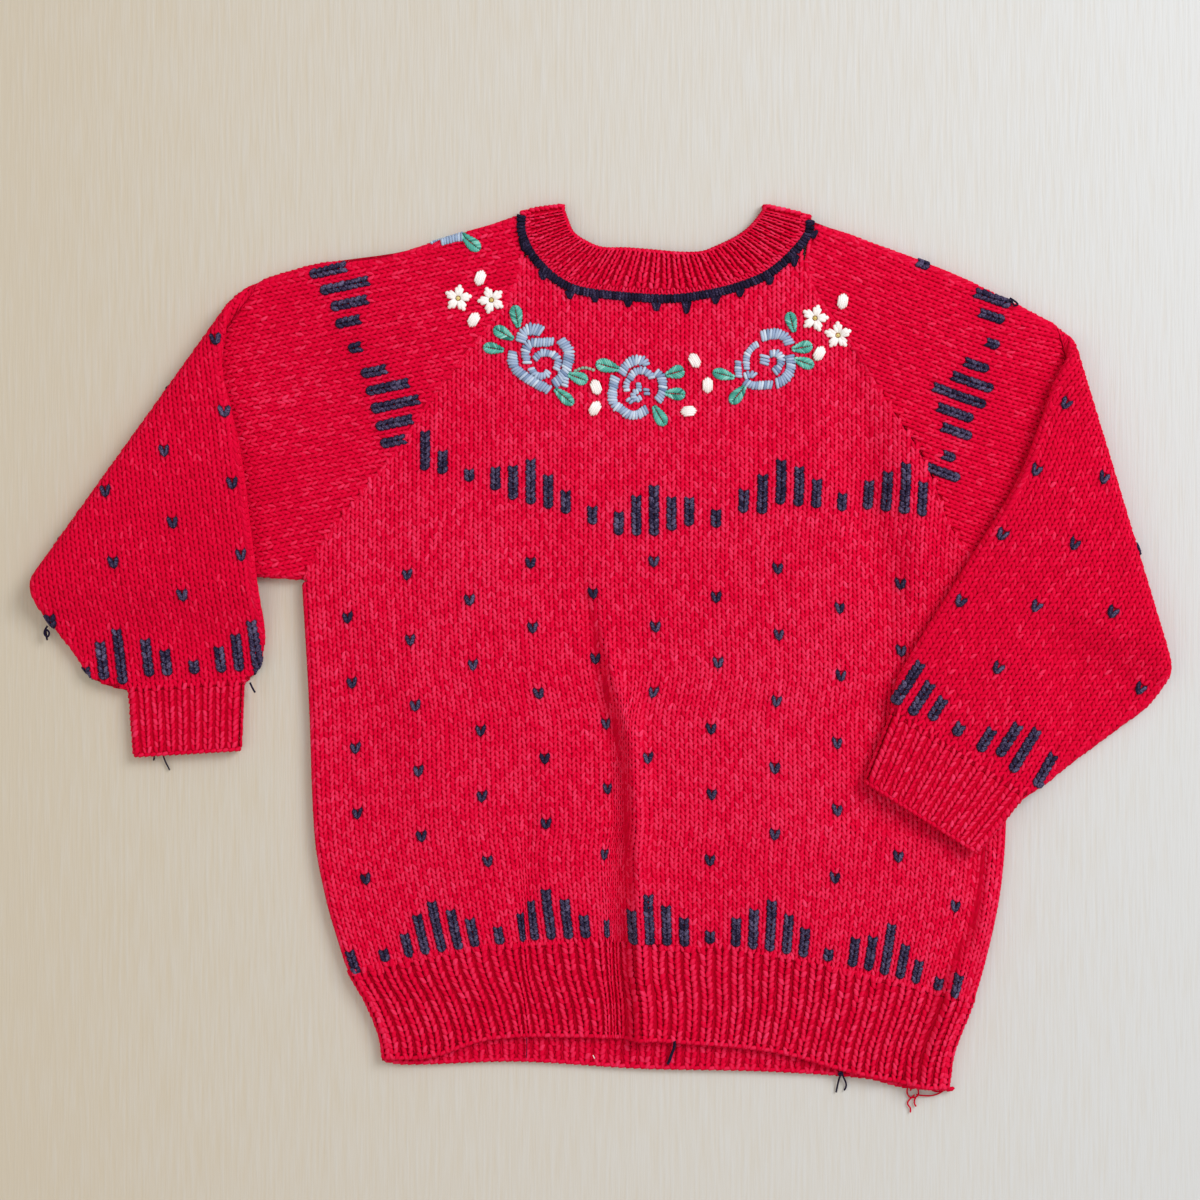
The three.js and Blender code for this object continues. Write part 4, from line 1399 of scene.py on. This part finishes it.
def loose_yarn(name, thickness, finish, *routes):
    """Ends of yarn lying where they fall, as a tube along each route of (x, y, z)."""
    data = bpy.data.curves.new(name, "CURVE")
    data.dimensions = "3D"
    data.bevel_depth = thickness / 2 * MM
    data.bevel_resolution = 2
    data.use_fill_caps = True
    data.materials.append(finish.material)
    for route in routes:
        spline = data.splines.new("NURBS")
        spline.points.add(len(route) - 1)
        for point, (x, y, z) in zip(spline.points, route):
            point.co = (x * MM, y * MM, z * MM, 1)
        spline.use_endpoint_u = True
        spline.order_u = 3
    drawn = add_object(name, data)
    mesh = bpy.data.meshes.new_from_object(drawn.evaluated_get(bpy.context.evaluated_depsgraph_get()))
    mesh.attributes.new("shade", "FLOAT", "POINT")
    bpy.data.objects.remove(drawn)
    add_piece(name, mesh)


loose_yarn(
    "frayed_hem_ends", 0.8, RED_RIB,
    [(154, -214, 6), (153, -219, 2), (152, -223, 1), (154, -226, 0.8), (158, -225, 1.2), (158, -221, 2),
     (155, -219, 2), (154, -222, 1.6)],
    [(158, -216, 5), (163, -218, 2), (169, -219, 1.2), (172, -221, 0.8), (168, -224, 0.8), (162, -225, 1),
     (157, -224, 1.4)],
    [(160, -217, 4), (164, -222, 1), (169, -223, 0.8), (171, -220, 0.8), (170, -216, 3)],
    [(156, -224, 1.6), (153, -227, 0.8), (152.5, -229, 0.7), (154.5, -231, 0.7), (154, -233, 0.7)],
    [(157, -225, 1.2), (155, -228, 0.8), (157, -230, 0.7)],
)
loose_yarn(
    "hem_knot", 0.9, NAVY,
    [(119, -207, 6), (118, -211, 5), (120.5, -213, 5), (117, -213.5, 5), (119.5, -211, 6), (118, -217, 1),
     (117, -223, 0.7)],
    [(119, -212, 5), (121, -216, 1.5), (122.5, -220, 0.8), (121, -222, 0.7)],
)
loose_yarn(
    "left_cuff_ends", 0.8, NAVY,
    [(-223, -53, 4), (-223.5, -56, 1.5), (-224, -57, 0.8)],
    [(-219, -53, 4), (-218.5, -57, 1.2), (-217, -60, 0.8), (-216, -62, 0.7)],
)
loose_yarn(
    "mended_ends", 1.0, NAVY,
    [(-276, 10, 5), (-278.5, 7, 4.5), (-276, 4, 5), (-274.5, 7, 6), (-277.5, 9, 5), (-276.5, 3, 3.5)],
    [(151, -29, 13.5), (154, -31, 13.5), (155.5, -33, 13), (153, -33.5, 13.5), (152, -31, 14)],
    [(202.5, 173, 7.5), (205, 171.5, 7.6), (207, 169.5, 7.4), (204, 169, 7.6), (203.5, 172, 7.8)],
    [(-175, -18, 6.5), (-174, -20.5, 6.5), (-172.5, -23, 6)],
)
loose_yarn(
    "dark_end_in_hem", 1.5, NAVY,
    [(36, -196, 7), (36.2, -199.5, 5.5), (34.6, -203, 4.8), (33.4, -207, 4.6), (32.6, -208, 4.4)],
)
loose_yarn("thin_end_in_hem", 0.4, NAVY, [(-37.5, -195, 6), (-37.2, -200, 4.8), (-37.7, -205, 4.6)])
loose_yarn("pale_end_in_hem", 0.5, IVORY, [(-4.5, -203.6, 4.8), (-4, -204.6, 4.9), (-3.7, -205.2, 4.8)])
loose_yarn(
    "heart_tail", 1.1, NAVY, [(56, -10, 8.4), (58, -13, 8.8), (61, -15, 8.4), (63, -18, 8.6), (65, -21, 8)],
)


TABLE_SIZE = 24.0  # metres, past every edge of a view
TABLE_GAP = 0.0004  # just clear of the cloth that rests on it


def stage():
    """A pale painted table top, painted darker and warmer at one side as painted shade, under a wide soft
    window light.
    """
    material, tree, shader = new_material("painted_wood", 0.6)
    place = add_node(tree, "TexCoord").outputs["Object"]
    # Grain shows through the paint as ridges about 1.5 mm apart
    stretched = add_node(tree, "Mapping", [("Scale", (1.0, 0.05, 1.0))], [("Vector", place)])
    grain = add_node(
        tree, "TexNoise", [("Scale", per_metre(1.5)), ("Detail", 4.0)], [("Vector", stretched)],
    )
    split = add_node(tree, "SeparateXYZ", links=[("Vector", place)])
    # Painted light and shade: the top is painted darker and warmer away from the window and paler towards it
    side = add_node(
        tree, "MapRange", [("From Min", -0.3), ("From Max", 0.3), ("To Min", -0.42), ("To Max", 0.58)],
        [("Value", split.outputs["X"])],
    )
    # wood grain streaks, plus the painted light and shade across the top
    grain_and_painted_light = add_node(tree, "Math", [(1, 0.84)], [(0, grain), (2, side)], operation="MULTIPLY_ADD")
    ramp = add_node(tree, "ValToRGB", links=[("Fac", grain_and_painted_light)])
    ramp.color_ramp.elements[0].color = linear("#CFC4B0")
    ramp.color_ramp.elements[1].color = linear("#D8D9D8")
    bump = add_node(tree, "Bump", [("Strength", 0.8), ("Distance", 0.3 * MM)], [("Height", grain)])
    tree.links.new(ramp.outputs["Color"], shader.inputs["Base Color"])
    tree.links.new(bump.outputs["Normal"], shader.inputs["Normal"])
    half = TABLE_SIZE / 2
    corners = [(-half, -half, 0), (half, -half, 0), (half, half, 0), (-half, half, 0)]
    mesh = bpy.data.meshes.new("table_top")
    mesh.from_pydata(corners, [], [(0, 1, 2, 3)])
    mesh.materials.append(material)
    table = add_object("table_top", mesh)
    table.location.z = -TABLE_GAP


def look_down():
    """Straight down, 600 mm across the table."""
    data = bpy.data.cameras.new("overhead")
    data.lens = 66
    camera = add_object("overhead", data)
    camera.location = (-0.001, 0.023, 1.1)
    bpy.context.scene.camera = camera


def area_light(name, place, size, power, colour):
    """A square soft light that faces the pullover."""
    data = bpy.data.lights.new(name, "AREA")
    data.size = size
    data.energy = power
    data.color = linear(colour)[:3]
    light = add_object(name, data)
    light.location = place
    x, y, z = place
    light.rotation_euler = (math.atan2(math.hypot(x, y), z), 0, math.atan2(x, -y))


stage()
look_down()
area_light("window", (1.5, 1.1, 1.7), 1.2, 40, "#F8FAFF")
area_light("room", (-1.2, -0.6, 1.8), 2.0, 8, "#FFF0DC")
world = bpy.data.worlds.new("room_light")
world.use_nodes = True
sky = world.node_tree.nodes["Background"]
sky.inputs["Color"].default_value = linear("#EDEBE8")
sky.inputs["Strength"].default_value = 0.63
bpy.context.scene.world = world
bpy.context.scene.view_settings.view_transform = "Standard"
